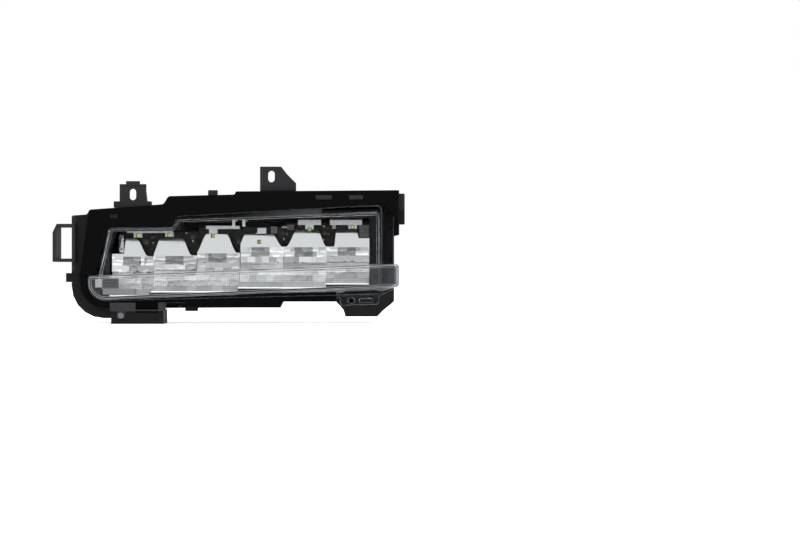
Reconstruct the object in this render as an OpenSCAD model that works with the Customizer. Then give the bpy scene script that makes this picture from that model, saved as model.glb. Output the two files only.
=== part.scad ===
// Front bumper turn signal and daytime lamp, left unit.
// X runs along the lamp towards the middle of the car, Z is up, and Y runs from the front into the car.
// Inside the file the lamp is laid out from the seam between its two reflectors; at the end everything
// moves so that the middle of the inner fixing slot is the origin.

/* [Bezel and lens] */
// Distance from the reflector seam to the inner end of the bezel
inner_reach = 171; // [168:1:185]
// Distance from the reflector seam to the outer bulge of the bezel
outer_reach = 165; // [162:1:180]
// Height of the bezel's top edge over the layout line, at its inner end
top_z = 58.8; // [56:0.5:66]
// Height of the bezel's bottom edge under the layout line, at the outer half
bottom_z = 64.6; // [63:0.5:72]
// Radius of the bezel's rounded lower outer corner
corner_r = 27; // [20:1:32]
// Width of the black band between the bezel's top edge and the lens
top_band = 15; // [12:0.5:17]
// Wall of the bezel
bezel_t = 2.2; // [1.6:0.1:3]
// How far the bezel's face falls back from its rim to the lens
bezel_dish = 2; // [1:0.25:3]
// Wall of the lens
lens_t = 2.8; // [2:0.1:3.5]
// How far the lens dome stands in front of the bezel's rim
dome_rise = 12; // [8:0.5:16]
// How far the blade along the lower edge stands in front of the bezel's rim
blade_rise = 26; // [20:0.5:34]
// Thickness of the sealing bead
seal_t = 1; // [0.6:0.1:2]

/* [Housing] */
// Wall of the housing
wall = 2.5; // [2:0.1:3.5]
// Thickness of the housing's front flange
flange_t = 3; // [2.5:0.1:4]
// Depth of the housing, from the front of its flange to the outside of its back wall
housing_depth = 54; // [53:0.5:66]
// Width of the two slots for the M6 fixing screws
slot_w = 7; // [6.4:0.1:8]
// Height of the two slots
slot_h = 12; // [10:0.5:13]
// Thickness of the outer fixing ear
ear_t = 3; // [2.5:0.1:4]
// Width of the outer fixing ear
ear_w = 28; // [24:0.5:32]
// Diameter of the pilot hole in the lower inner lug
pilot_d = 4.2; // [3.5:0.1:5]
// Clear width of the side loop
loop_w = 17; // [14:0.5:18]
// Clear height of the side loop
loop_h = 33; // [26:0.5:34]
// Depth of the side loop
loop_depth = 23; // [16:0.5:26]
// Thickness of the side loop's bars
loop_t = 3.6; // [3:0.1:4.5]

/* [Optics] */
// Width of one reflector cell
cell_pitch = 46.5; // [44:0.1:46.6]
// Height of each smooth arch over the crease below it
arch_h = 19.3; // [15:0.1:20]
// Step in height from one pair of cells to the next
pair_step = 4.85; // [3:0.05:5]
// Wall of the reflectors
reflector_t = 1.6; // [1.2:0.1:2]
// Height of the pillow facets over the reflector's curve
pillow = 0.9; // [0:0.1:1.2]
// Pillow facets across one cell
pillow_columns = 4; // [2:1:5]
// Rows of pillow facets between the foot and the crease
pillow_rows = 4; // [2:1:5]
// Thickness of the LED boards and of the driver board
board_t = 1.6; // [1:0.1:2]
// Width and height of an LED package
led_size = 3.5; // [2.8:0.1:3.8]

/* [Heat sink and connector] */
// Height of the cooling fins over the heat sink's plate
fin_h = 18; // [8:1:25]
// Distance between fins
fin_pitch = 10; // [8:0.5:14]
// Thickness of a fin
fin_t = 2; // [1.5:0.1:3]
// Thickness of the heat sink's plate
sink_t = 3; // [2.5:0.1:4]
// Thickness of the gasket under the heat sink
gasket_t = 1.5; // [1:0.1:2]
// Width of the connector socket, inside
socket_w = 24; // [20:0.5:26]
// Height of the connector socket, inside
socket_h = 16; // [13:0.5:17]
// Depth of the connector socket
socket_depth = 20; // [16:0.5:24]

/* [Hidden] */
$fn = 40;

fit = 0.3;
lens_flange_t = 3;
lens_flange_y = bezel_dish + bezel_t + fit;
seal_y = lens_flange_y + lens_flange_t;
flange_y = seal_y + seal_t;
flange_back = flange_y + flange_t;
back_outside = flange_y + housing_depth;
back_inside = back_outside - wall;

// Outlines are lists of corners, clockwise as seen from the front: x, z and the corner's radius
arc_steps = 5;
function flat(p) = [p[0], p[1]];
function unit(v) = v / norm(v);
function turned(v) = [v[1], -v[0]];
function arc(a, p, b) =
    let (
        u = unit(flat(a) - flat(p)),
        w = unit(flat(b) - flat(p))
    )
    u * w < -0.9999 ? [for (i = [0 : arc_steps]) flat(p) + u * (0.5 - i / arc_steps)] : bend(p, u, w);
function bend(p, u, w) =
    let (
        half = acos(u * w) / 2,
        centre = flat(p) + unit(u + w) * p[2] / sin(half),
        from = flat(p) + u * p[2] / tan(half) - centre,
        to = flat(p) + w * p[2] / tan(half) - centre,
        start = atan2(from[1], from[0]),
        sweep = (atan2(to[1], to[0]) - start + 540) % 360 - 180
    )
    [for (i = [0 : arc_steps])
        let (a = start + sweep * i / arc_steps)
        centre + p[2] * [cos(a), sin(a)]];
function rounded(c) =
    let (n = len(c))
    [for (i = [0 : n - 1]) each arc(c[(i + n - 1) % n], c[i], c[(i + 1) % n])];
function moved_in(c, d) =
    let (n = len(c))
    [for (i = [0 : n - 1])
        let (
            a = unit(flat(c[i]) - flat(c[(i + n - 1) % n])),
            b = unit(flat(c[(i + 1) % n]) - flat(c[i])),
            in_a = turned(a),
            in_b = turned(b),
            convex = a[0] * b[1] - a[1] * b[0] < 0,
            p = flat(c[i]) + d * (in_a + in_b) / (1 + in_a * in_b)
        )
        [p[0], p[1], max(c[i][2] + (convex ? -d : d), 0.4)]];
function mix(a, b, t) = a + (b - a) * t;

// A slab between two depths, cut to a flat outline
module slab(y0, y1) {
    translate([0, y1, 0]) rotate([90, 0, 0]) linear_extrude(y1 - y0) children();
}

module ring(outer, inner) {
    difference() {
        polygon(rounded(outer));
        polygon(rounded(inner));
    }
}

// The two triangles between one ring's corner, the next corner and the ring behind them
function halves(a, b, i, n) =
    let (k = (i + 1) % n)
    [[a + i, b + i, b + k], [a + i, b + k, a + k]];

function middle(ring) = [for (p = ring) 1] * ring / len(ring);

// A closed solid through outlines with the same number of corners, each at its own depth.
// Its two ends are fans of triangles from their middles, which see every corner.
module loft(outlines, depths) {
    rings = [for (o = outlines) rounded(o)];
    n = len(rings[0]);
    m = len(rings);
    points = concat(
        [for (j = [0 : m - 1]) each [for (p = rings[j]) [p[0], depths[j], p[1]]]],
        [for (j = [0, m - 1]) let (c = middle(rings[j])) [c[0], depths[j], c[1]]]
    );
    sides = [for (j = [0 : m - 2]) for (i = [0 : n - 1]) each halves(j * n, (j + 1) * n, i, n)];
    front = [for (i = [0 : n - 1]) [m * n, i, (i + 1) % n]];
    back = [for (i = [0 : n - 1]) [m * n + 1, (m - 1) * n + (i + 1) % n, (m - 1) * n + i]];
    polyhedron(points, concat(front, sides, back));
}

// A moulded frame: its section runs through the outlines in turn and back to the first
module frame(outlines, depths) {
    rings = [for (o = outlines) rounded(o)];
    n = len(rings[0]);
    m = len(rings);
    points = [for (j = [0 : m - 1]) each [for (p = rings[j]) [p[0], depths[j], p[1]]]];
    faces = [for (j = [0 : m - 1]) for (i = [0 : n - 1]) each halves(j * n, ((j + 1) % m) * n, i, n)];
    polyhedron(points, faces);
}

// A box from one corner to the other
module block(low, high) {
    translate(low) cube(high - low);
}

// A round bar that lies along the depth
module bar(d, x, z, y0, y1) {
    translate([x, y1, z]) rotate([90, 0, 0]) cylinder(d = d, h = y1 - y0);
}

// Main levels of the outline
outer_top_z = top_z - 20.5;
low_top_z = top_z - 14.8;
high_top_z = top_z - 6.3;
mid_top_z = top_z - 4.6;
late_top_z = top_z - 1.3;
inner_bottom_z = -bottom_z + 6.3;
step_x = -71.4;
late_step_x = 0;
foot_step_x = 46.2;
lens_top_z = top_z - top_band;
lens_low_z = lens_top_z - 24.5;
lens_left = -outer_reach + 8.5;
lens_right = inner_reach - 18.5;
lens_bottom_z = -bottom_z + 6.8;
blade_top_left = -31.2;
blade_top_right = -18.3;

// The bezel's outer edge and the window in it, corner for corner
bezel_edge = [
    [-outer_reach + 10, outer_top_z, 3],
    [step_x - 5, low_top_z, 5],
    [step_x, high_top_z, 4],
    [late_step_x - 2, mid_top_z, 0.8],
    [late_step_x, late_top_z, 0.8],
    [inner_reach, top_z, 2],
    [inner_reach, lens_top_z - 14, 1],
    [inner_reach, inner_bottom_z, 2],
    [foot_step_x + 3, inner_bottom_z, 2],
    [foot_step_x, -bottom_z, 2],
    [-outer_reach + 0.8, -bottom_z - 1, corner_r],
    [-outer_reach, blade_top_left, 12],
    [-outer_reach + 4.5, -4, 20]
];
// Where the lens is open at the back, which is also the mouth of the housing
mouth = [
    [-134.5, lens_low_z, 3],
    [step_x + 4.6, lens_low_z, 4],
    [step_x + 8.9, lens_low_z + 11.8, 5],
    [lens_right, lens_top_z - 0.6, 5],
    [lens_right, lens_bottom_z + 7.4, 7],
    [lens_left, lens_bottom_z, 18],
    [lens_left, blade_top_left, 2.5],
    [lens_left + 9, blade_top_left, 2]
];
window = [
    [-135.1, lens_low_z + 0.6, 3],
    [step_x + 4.4, lens_low_z + 0.6, 4],
    [step_x + 8.5, lens_low_z + 12.4, 5],
    [late_step_x - 2, lens_low_z + 16.1, 0.8],
    [late_step_x, lens_low_z + 16.3, 0.8],
    [lens_right, lens_top_z, 5],
    [inner_reach - 5.2, lens_top_z - 12.6, 5],
    [inner_reach - 5.2, lens_bottom_z + 7.2, 7],
    [foot_step_x + 3, lens_bottom_z + 4.3, 1],
    [foot_step_x, lens_bottom_z + 4.2, 1],
    [lens_left - 0.7, lens_bottom_z - 0.7, 18.7],
    [lens_left - 0.7, blade_top_left + 0.6, 3],
    [lens_left + 8.6, blade_top_left + 0.6, 1.4]
];
lens_flange = [
    [-138, lens_low_z + 4, 3],
    [step_x + 1, lens_low_z + 4, 3],
    [step_x + 5.4, lens_low_z + 16, 4],
    [lens_right + 0.6, lens_top_z + 2.4, 3],
    [inner_reach - 5.7, lens_top_z - 11.2, 3],
    [inner_reach - 5.7, lens_bottom_z + 12, 3],
    [lens_right - 6, lens_bottom_z + 3.4, 3],
    [foot_step_x + 1, lens_bottom_z + 2.6, 1],
    [foot_step_x - 4, lens_bottom_z - 1.4, 1],
    [lens_left - 3.6, lens_bottom_z - 3, 20],
    [lens_left - 3.6, blade_top_left + 3.4, 4],
    [lens_left + 6, blade_top_left + 3.4, 3]
];

// The lens dome, from its base on the flange to its face
dome_face_y = -dome_rise;
dome_base = [
    [-134.5, lens_low_z, 3],
    [step_x + 4.6, lens_low_z, 4],
    [step_x + 8.9, lens_low_z + 11.8, 5],
    [lens_right, lens_top_z - 0.6, 5],
    [lens_right, blade_top_right - 8, 2],
    [lens_left + 11, blade_top_left - 8, 2]
];
dome_face = [
    [-129.7, lens_low_z - 0.9, 3],
    [step_x + 5.8, lens_low_z - 0.9, 4],
    [step_x + 12.5, lens_low_z + 8.9, 5],
    [lens_right - 1.6, lens_top_z - 8.6, 4],
    [lens_right - 1.6, blade_top_right - 8, 2],
    [lens_left + 12.5, blade_top_left - 8, 2]
];
// The blade, from its base on the flange to its front edge
blade_face_y = -blade_rise;
blade_base = [
    [lens_right, blade_top_right, 2],
    [lens_right, lens_bottom_z + 7.4, 7],
    [lens_left, lens_bottom_z, 18],
    [lens_left, blade_top_left, 2.5]
];
blade_face = [
    [inner_reach + 0.2, blade_top_right - 0.6, 3],
    [inner_reach + 0.2, lens_bottom_z + 15.1, 4],
    [lens_left + 6, lens_bottom_z + 1.2, 17],
    [lens_left + 7.2, blade_top_left - 0.6, 2.5]
];

// Reflector cells, numbered 0 to 5 from the outer end
cells = 6;
end_trim = 1;
top_arch_z = lens_top_z - 25.1;
foot_step = 4.3;
foot_rise = [0, 1, 1, 2, 2, 3];
lip_t = 1.5;
lip_depth = 3;
foot_outer_z = lens_bottom_z + 4.3;
sweep_step = 4;
lip_inner_y = flange_back + 3;
board_y = back_inside - 10;
sheet_back_y = board_y - 3;
sag = 4.5;
inner_crease_z = top_arch_z - arch_h;
// For each cell: how far its crease lies under the inner ones
crease_drop = [10.2, 9.5, 6.7, 0, 0, 0];
// For each cell, in half widths from its middle: where the arch leaves the crease and reaches its flat
// top on the outer side, and where it leaves the top and meets the crease on the inner side
arch_foot_out = [-0.47, -1.1, -1.06, -1.1, -0.9, -0.66];
arch_top_out = [-0.39, -0.72, -0.58, -0.78, -0.36, -0.56];
arch_top_in = [0.08, 0.24, 0.3, 0.44, 0.54, 0.38];
arch_foot_in = [0.72, 0.76, 0.86, 0.98, 1.02, 0.5];
// What is left of the arch's height beside it, on each side
shelf_out = [0.15, 0.03, 0.03, 0.03, 0.03, 0.03];
shelf_in = [0.03, 0.03, 0.03, 0.03, 0.03, 0.5];
// Where each LED sits beside its cell's middle, and over the line of its board
led_shift = [4.2, -8.2, -7.1, -3.2, 4.2, 4.6];
led_rise = [0.7, 1.5, -4.4, -11, -2.4, 0.5];

function pair(i) = floor(i / 2);
function arch_z(i) = top_arch_z - pair_step * (2 - pair(i));
function crease_z(i) = inner_crease_z - crease_drop[i];
function foot_z(i) = foot_outer_z + lip_t + foot_step * foot_rise[i];
function lip_y(i) = lip_inner_y + sweep_step * (2 - pair(i));
function cell_left(i) = (i - cells / 2) * cell_pitch + (i == 0 ? end_trim : 0);
function cell_right(i) = (i + 1 - cells / 2) * cell_pitch;
function cell_x(i) = (i + 0.5 - cells / 2) * cell_pitch;
function led_line(p) = arch_z(2 * p) + 2.3;
function led_x(i) = cell_x(i) + led_shift[i];
function led_z(i) = led_line(pair(i)) + led_rise[i];

// The front of a reflector, from the edge of its lip up to the top of the arch.
// v runs over the lip to 0, over the pillowed scoop to 1 and over the smooth arch to 2.
function eased(t) = let (s = min(max(t, 0), 1)) s * s * (3 - 2 * s);
function arch_share(i, u) =
    min(
        mix(shelf_out[i], 1, eased((u - arch_foot_out[i]) / (arch_top_out[i] - arch_foot_out[i]))),
        mix(shelf_in[i], 1, eased((arch_foot_in[i] - u) / (arch_foot_in[i] - arch_top_in[i])))
    );
function pillow_at(u, v) =
    pillow * pow(sin(180 * pillow_columns * (u + 1) / 2), 2) * pow(sin(180 * pillow_rows * v), 2);
function scoop(i, u, v) =
    let (
        reach = sheet_back_y - reflector_t - lip_y(i),
        rise = crease_z(i) - foot_z(i),
        bump = v > 0 && v < 1 ? pillow_at(u, v) : 0,
        pull = sag * u * u * max(min(v, 1), 0)
    )
    v <= 0 ? [lip_y(i) + lip_depth * v, foot_z(i)]
    : v <= 1 ? [
        lip_y(i) + reach * 0.88 * sin(90 * v) - pull - bump * sin(90 * v),
        foot_z(i) + rise * (1 - cos(90 * v)) + bump * cos(90 * v)
    ]
    : [
        lip_y(i) + reach * (0.88 + 0.12 * (v - 1)) - pull,
        mix(crease_z(i), arch_z(i), (v - 1) * arch_share(i, u))
    ];
function scoop_back(i, u, v) =
    let (
        p = scoop(i, u, v),
        lean = v <= 0 ? 0 : v <= 1 ? 90 * v : 90
    )
    [p[0] + reflector_t * sin(lean), p[1] - mix(lip_t, reflector_t, min(max(v, 0), 1)) * cos(lean)];

// A reflector moulding: one sheet that steps at the cells' borders
border = 0.35;
u_steps = pillow_columns * 4;
v_steps = pillow_rows * 4;
arch_rows = 3;
module reflector(first, last) {
    us = [for (k = [0 : u_steps]) 2 * k / u_steps - 1];
    vs = concat([-1], [for (k = [0 : v_steps]) k / v_steps], [for (k = [1 : arch_rows]) 1 + k / arch_rows]);
    columns = [for (i = [first : last]) for (u = us) [i, u]];
    n = len(columns);
    m = len(vs);
    function column_x(i, u) = mix(cell_left(i) + border, cell_right(i) - border, (u + 1) / 2);
    front_points = [for (v = vs) for (c = columns)
        let (p = scoop(c[0], c[1], v)) [column_x(c[0], c[1]), p[0], p[1]]];
    back_points = [for (v = vs) for (c = columns)
        let (p = scoop_back(c[0], c[1], v)) [column_x(c[0], c[1]), p[0], p[1]]];
    h = n * m;
    skin = [for (j = [0 : m - 2]) for (k = [0 : n - 2])
        let (q = j * n + k) [q, q + n, q + n + 1, q + 1]];
    back = [for (q = skin) [q[0] + h, q[3] + h, q[2] + h, q[1] + h]];
    low = [for (k = [0 : n - 2]) [k, k + 1, k + 1 + h, k + h]];
    high = [for (k = [0 : n - 2]) let (q = (m - 1) * n + k) [q + 1, q, q + h, q + 1 + h]];
    left = [for (j = [0 : m - 2]) let (q = j * n) [q + n, q, q + h, q + n + h]];
    right = [for (j = [0 : m - 2]) let (q = j * n + n - 1) [q, q + n, q + n + h, q + h]];
    polyhedron(concat(front_points, back_points), concat(skin, back, low, high, left, right));
}

// The stepped opening of the inner bezel, in which the cells stand
tunnel_t = 1.5;
tunnel_back = lip_inner_y + 18;
opening_left = cell_left(0) - 0.6;
opening_right = cell_right(cells - 1) + 0.6;
function floor_z(i) = foot_z(i) - lip_t;
function riser_x(i) = cell_left(i) + border + 0.2;
ceiling_step_x = late_step_x - 8.6;
ceiling_z = lens_top_z - 13.6;
opening = [
    [opening_left + 8, lens_low_z - 2, 1],
    [step_x + 12, lens_low_z - 2, 1],
    [step_x + 12, lens_low_z + 6.6, 1],
    [ceiling_step_x, lens_low_z + 6.6, 1],
    [ceiling_step_x, ceiling_z, 1],
    [opening_right, ceiling_z, 1],
    [opening_right, floor_z(5), 0.4],
    [riser_x(5), floor_z(5), 0.4],
    [riser_x(5), floor_z(4), 0.4],
    [riser_x(3), floor_z(4), 0.4],
    [riser_x(3), floor_z(2), 0.4],
    [riser_x(1), floor_z(2), 0.4],
    [riser_x(1), floor_z(0), 0.4],
    [opening_left, floor_z(0), 0.4],
    [opening_left, crease_z(1), 2]
];

// Heat sink pedestals, one behind each board
sink_face_y = board_y + board_t;
function pedestal_low(p) = led_line(p) - 14;
function pedestal_high(p) = led_line(p) + 1.5;
function pair_left(p) = cell_left(2 * p);
function pair_right(p) = cell_right(2 * p + 1);
pedestal_end = 12.5;
module pedestals(gap) {
    for (p = [0 : 2]) {
        left = pair_left(p) + (p == 0 ? pedestal_end : -1) - gap;
        right = pair_right(p) - (p == 2 ? pedestal_end : -1) + gap;
        translate([left, pedestal_low(p) - gap])
            square([right - left, pedestal_high(p) - pedestal_low(p) + 2 * gap]);
    }
}

// Fixing places
datum_x = 36.3;
datum_z = top_z + 14.8;
ear_x = -110.8;
ear_z = top_z - 4;
ear_y = flange_back + 0.5;
pilot_x = 120.8;
pilot_z = inner_bottom_z + 0.8;
lug_depth = 25;
hook_x = [-128.5, 92, 126];
hook_z = [outer_top_z - 7, top_z - 7.6, top_z - 7.4];
hook_w = [9.6, 18, 16];
hook_t = 4.6;

module slot(x, z, y0, y1) {
    reach = (slot_h - slot_w) / 2;
    for (side = [-1, 1]) bar(slot_w, x, z + side * reach, y0 - 1, y1 + 1);
    block([x - slot_w / 2, y0 - 1, z - reach], [x + slot_w / 2, y1 + 1, z + reach]);
}

// Corners of the lower outer block
block_left = -outer_reach + 33.7;
block_right = block_left + 55;
block_low = -bottom_z - 17.2;
block_back = flange_y + 16;
side_x = -outer_reach - 9.7;
flange_edge = [
    [side_x, 32.4, 2],
    [-outer_reach + 6, 33.5, 1],
    [-outer_reach + 10, outer_top_z + 0.4, 2],
    [step_x - 5, low_top_z + 0.4, 3],
    [step_x, high_top_z + 0.4, 3],
    [late_step_x - 2, mid_top_z + 0.4, 0.8],
    [late_step_x, late_top_z + 0.4, 0.8],
    [inner_reach + 0.4, top_z + 0.4, 1],
    [inner_reach + 0.4, top_z - 3.2, 0.5],
    [inner_reach + 6.2, top_z - 3.2, 1],
    [inner_reach + 6.2, top_z - 36, 1],
    [inner_reach + 0.4, top_z - 36, 0.5],
    [inner_reach + 0.4, top_z - 46.7, 1],
    [inner_reach - 5, top_z - 48.3, 1],
    [inner_reach - 5, inner_bottom_z, 2],
    [153.9, inner_bottom_z - 10, 1.5],
    [148.3, inner_bottom_z - 16, 1.5],
    [114, inner_bottom_z - 16, 1.5],
    [114, inner_bottom_z - 10, 1],
    [105, inner_bottom_z - 0.4, 1.5],
    [foot_step_x + 3, inner_bottom_z - 0.4, 1.5],
    [foot_step_x, -bottom_z - 0.4, 1.5],
    [-41.4, -bottom_z - 0.4, 0.5],
    [-41.4, -bottom_z - 4, 0.8],
    [-54.8, -bottom_z - 4, 0.8],
    [-54.8, -bottom_z - 0.4, 0.5],
    [block_right - fit, -bottom_z - 0.4, 0.5],
    [block_right - fit, block_low + fit, 1.5],
    [block_left + fit, block_low + fit, 2],
    [block_left + fit, -bottom_z - 11.5, 1],
    [side_x, -bottom_z - 11.5, 34]
];

module flange() {
    difference() {
        slab(flange_y, flange_back) polygon(rounded(flange_edge));
        slab(flange_y - 1, flange_back + 1) polygon(rounded(mouth));
    }
    slab(flange_y, flange_back) translate([-30.6, mid_top_z - 2]) square([10, 7]);
    block([side_x - 6, flange_y, -37.9], [side_x + 1, flange_back, -28.4]);
}

// The bucket behind the flange
module bucket() {
    difference() {
        slab(flange_y + 0.5, back_outside) polygon(rounded(moved_in(mouth, -wall)));
        slab(flange_y - 1, back_inside) polygon(rounded(mouth));
        slab(back_inside - 1, back_outside + 1) pedestals(1);
        bar(vent_d, vent_x, vent_z, back_inside - 1, back_outside + 1);
    }
}

// Ledge on which the inner bezel's face lies
ledge_y = flange_y + 2;
ledge_back = ledge_y + 2;
module ledge() {
    slab(ledge_y, ledge_back) difference() {
        ring(moved_in(mouth, -0.5), moved_in(mouth, 2.6));
        polygon(rounded(moved_in(opening, -tunnel_t - fit)));
    }
}

ear_root_z = low_top_z - 3;
module outer_ear() {
    top = ear_z + 11;
    difference() {
        union() {
            block([ear_x - ear_w / 2, ear_y, ear_root_z], [ear_x + ear_w / 2, ear_y + ear_t, top]);
            block([ear_x - 7.2, ear_y, top - 1], [ear_x + 7.2, ear_y + ear_t, top + 3.2]);
            block(
                [ear_x - 20, flange_back - 1, ear_root_z],
                [ear_x + 19.4, ear_y + ear_t + 3, ear_root_z + 6.5]
            );
            for (side = [-1, 1])
                translate([ear_x + side * (ear_w / 2 - 1), 0, 0])
                    gusset(ear_y + ear_t, ear_root_z + 6, 12, 8);
        }
        slot(ear_x, ear_z, ear_y, ear_y + ear_t);
        block([ear_x - ear_w / 2 - 1, ear_y - 1, top - 2.6], [ear_x + ear_w / 2 + 1, ear_y + 0.6, top - 1.8]);
    }
}

// A triangular rib that stands behind a plate: foot depth, level, rise and reach
module gusset(y, z, rise, reach) {
    translate([-1, 0, 0]) rotate([90, 0, 90]) linear_extrude(2)
        polygon([
            [y - 0.5, z - 0.5], [y + reach, z - 0.5], [y + reach, z],
            [y, z + rise], [y - 0.5, z + rise]
        ]);
}

// Depth of the groove that sets the inner ear's face apart from the flange
relief = 0.5;
module inner_ear() {
    difference() {
        union() {
            slab(flange_y, flange_back) polygon([
                [datum_x - 12, late_top_z - 4],
                [datum_x - 12, datum_z + 10.5],
                [datum_x + 10.2, datum_z + 10.5],
                [datum_x + 17, datum_z + 2],
                [datum_x + 26, datum_z - 7],
                [datum_x + 26, late_top_z - 4]
            ]);
            for (x = [datum_x - 10.4, datum_x + 24.4])
                translate([x, 0, 0]) gusset(flange_back, late_top_z - 4, 12, 9);
            block(
                [datum_x - 11.7, flange_back - 1, late_top_z - 3.7],
                [datum_x + 25.7, flange_back + 9.6, late_top_z - 1.2]
            );
        }
        slot(datum_x, datum_z, flange_y, flange_back);
        block(
            [datum_x - 13, flange_y - 1, late_top_z + 0.1],
            [datum_x + 27, flange_y + relief, late_top_z + 1.6]
        );
    }
}

// The open loop at the outer end
loop_front = bezel_t + 1.8;
loop_eye_x = side_x + 1.5 - loop_w;
loop_eye_z = 3.4 - loop_h / 2;
module side_loop() {
    left = loop_eye_x - loop_t;
    right = side_x + 1.5 + loop_t;
    low = loop_eye_z - loop_t;
    high = loop_eye_z + loop_h + loop_t;
    difference() {
        slab(loop_front, loop_front + loop_depth) polygon(rounded([
            [left, high - 9, 2],
            [left + 4.2, high, 2],
            [right, high, 1],
            [right, low, 1],
            [left, low, 1.5]
        ]));
        slab(loop_front - 1, loop_front + loop_depth + 1)
            translate([loop_eye_x, loop_eye_z]) square([loop_w, loop_h]);
    }
    for (z = [low + fit, high - 2.8])
        block([right - 2.3, flange_back - 1, z], [lens_left - 0.5, flange_back + 12, z + 2.5]);
}

// The two lower blocks, open at the back like any moulded lug
module outer_block() {
    rib_t = 2;
    difference() {
        block([block_left, 0, block_low], [block_right, block_back, -bottom_z - 1.6]);
        block(
            [block_left + wall, flange_back + 1, block_low + wall],
            [block_right - wall, block_back + 1, -bottom_z - 4]
        );
        block([block_left + 26.3, -1, -bottom_z - 5.6], [block_right - 6.2, 4, -bottom_z - 2.4]);
    }
    for (x = [block_left + 18.3, block_right - 18.7])
        block([x, flange_back, block_low + 0.5], [x + rib_t, block_back - 2, -bottom_z - 2]);
}

module inner_lug() {
    lug = [
        [105.5, inner_bottom_z + 6.3, 1],
        [163, inner_bottom_z + 6.3, 1],
        [163, inner_bottom_z - 2.4, 1],
        [153.3, inner_bottom_z - 10, 1],
        [148, inner_bottom_z - 15.7, 1.5],
        [114.5, inner_bottom_z - 15.7, 1.5],
        [112, inner_bottom_z - 8, 1],
        [105.5, inner_bottom_z - 1.4, 1]
    ];
    difference() {
        slab(flange_back - 1, flange_back + lug_depth) ring(lug, moved_in(lug, wall));
        slab(flange_back - 2, flange_back + lug_depth + 1) polygon(rounded(moved_in(mouth, 0.5)));
    }
    block([134, flange_back, inner_bottom_z - 14.5], [136, flange_back + lug_depth - 3, inner_bottom_z + 4]);
}

pilot_boss_d = 9;
pilot_boss_h = 8;
pilot_floor = 1.2;
module pilot() {
    bar(pilot_boss_d, pilot_x, pilot_z, flange_y, flange_back + pilot_boss_h);
}

module hooks() {
    for (k = [0 : 2]) {
        left = hook_x[k] - hook_w[k] / 2 + 0.5;
        right = hook_x[k] + hook_w[k] / 2 - 0.5;
        block([left, 0.6, hook_z[k] - hook_t / 2], [right, flange_y + 1, hook_z[k] + hook_t / 2]);
    }
}

// Stiffening ribs round the back of the bucket
module back_ribs() {
    for (x = [-104, -56, 80, 128])
        block([x, back_outside - 0.5, lens_bottom_z + 9], [x + 2, back_outside + 5, pedestal_low(0) - 8]);
    block(
        [-104, back_outside - 0.5, lens_bottom_z + 9],
        [socket_x - socket_w / 2 - 4, back_outside + 5, lens_bottom_z + 11]
    );
}

// Connector socket and its pins
socket_x = 24;
socket_z = -33;
pins = 4;
pin_pitch = 5;
pin_w = 2.8;
pin_t = 0.8;
pin_gap = 0.15;
pin_z = socket_z - socket_h / 2 + 4.5;
module pin(k, gap) {
    x = socket_x + (k - (pins - 1) / 2) * pin_pitch;
    block(
        [x - pin_w / 2 - gap, driver_y + board_t, pin_z - pin_t / 2 - gap],
        [x + pin_w / 2 + gap, back_outside + socket_depth - 5, pin_z + pin_t / 2 + gap]
    );
}
module socket() {
    w = socket_w + 2 * wall;
    h = socket_h + 2 * wall;
    end = back_outside + socket_depth;
    difference() {
        union() {
            block(
                [socket_x - w / 2, back_outside - 0.5, socket_z - h / 2],
                [socket_x + w / 2, end, socket_z + h / 2]
            );
            block(
                [socket_x - 5, back_outside + 6, socket_z + h / 2 - 1],
                [socket_x + 5, end - 5, socket_z + h / 2 + 2.4]
            );
            for (side = [-1, 1])
                translate([socket_x + side * w / 2 - 1, back_outside - 0.5, socket_z - h / 2])
                    cube([2, socket_depth - 4, h]);
        }
        block([socket_x - socket_w / 2, back_outside, socket_z - socket_h / 2],
            [socket_x + socket_w / 2, end + 1, socket_z + socket_h / 2]);
    }
}

// Places of the driver board, its posts and the vent
driver_y = back_inside - 6;
driver_low = -46;
driver_high = -18;
driver_left = -104;
driver_right = 104;
driver_post_d = 7;
screw_d = 3;
post_places = [
    [driver_left + 5, driver_low + 5], [driver_right - 5, driver_low + 5],
    [driver_left + 5, driver_high - 5], [driver_right - 5, driver_high - 5]
];
vent_x = -76;
vent_z = -38;
vent_d = 6;
vent_cap_d = 15;
sink_screw_places = [
    [-131, led_line(0) - 6], [0, led_line(1) + 10],
    [137, led_line(2) - 6], [60, led_line(2) - 19.2]
];
sink_screw_d = 3.4;
sink_thread_d = 3;
sink_ear_d = 11;
sink_boss_d = 8;
sink_boss_h = 6;

module lamp_housing() {
    color([0.19, 0.19, 0.2]) difference() {
        union() {
            flange();
            bucket();
            ledge();
            outer_ear();
            inner_ear();
            side_loop();
            outer_block();
            inner_lug();
            pilot();
            hooks();
            back_ribs();
            socket();
            for (p = post_places) bar(driver_post_d, p[0], p[1], driver_y + board_t, back_inside + 0.5);
            for (p = sink_screw_places)
                bar(sink_boss_d, p[0], p[1], back_inside - sink_boss_h, back_inside + 0.5);
        }
        bar(pilot_d, pilot_x, pilot_z, flange_y - 1, flange_back + pilot_boss_h - pilot_floor);
        for (p = post_places) bar(screw_d - 0.5, p[0], p[1], driver_y - 1, back_inside);
        for (p = sink_screw_places)
            bar(sink_thread_d, p[0], p[1], back_inside - sink_boss_h + 1, back_outside + 1);
        for (k = [0 : pins - 1]) pin(k, pin_gap);
        bar(retainer_pin_d, retainer_x, retainer_z, -1, flange_back + 1);
    }
}

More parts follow.
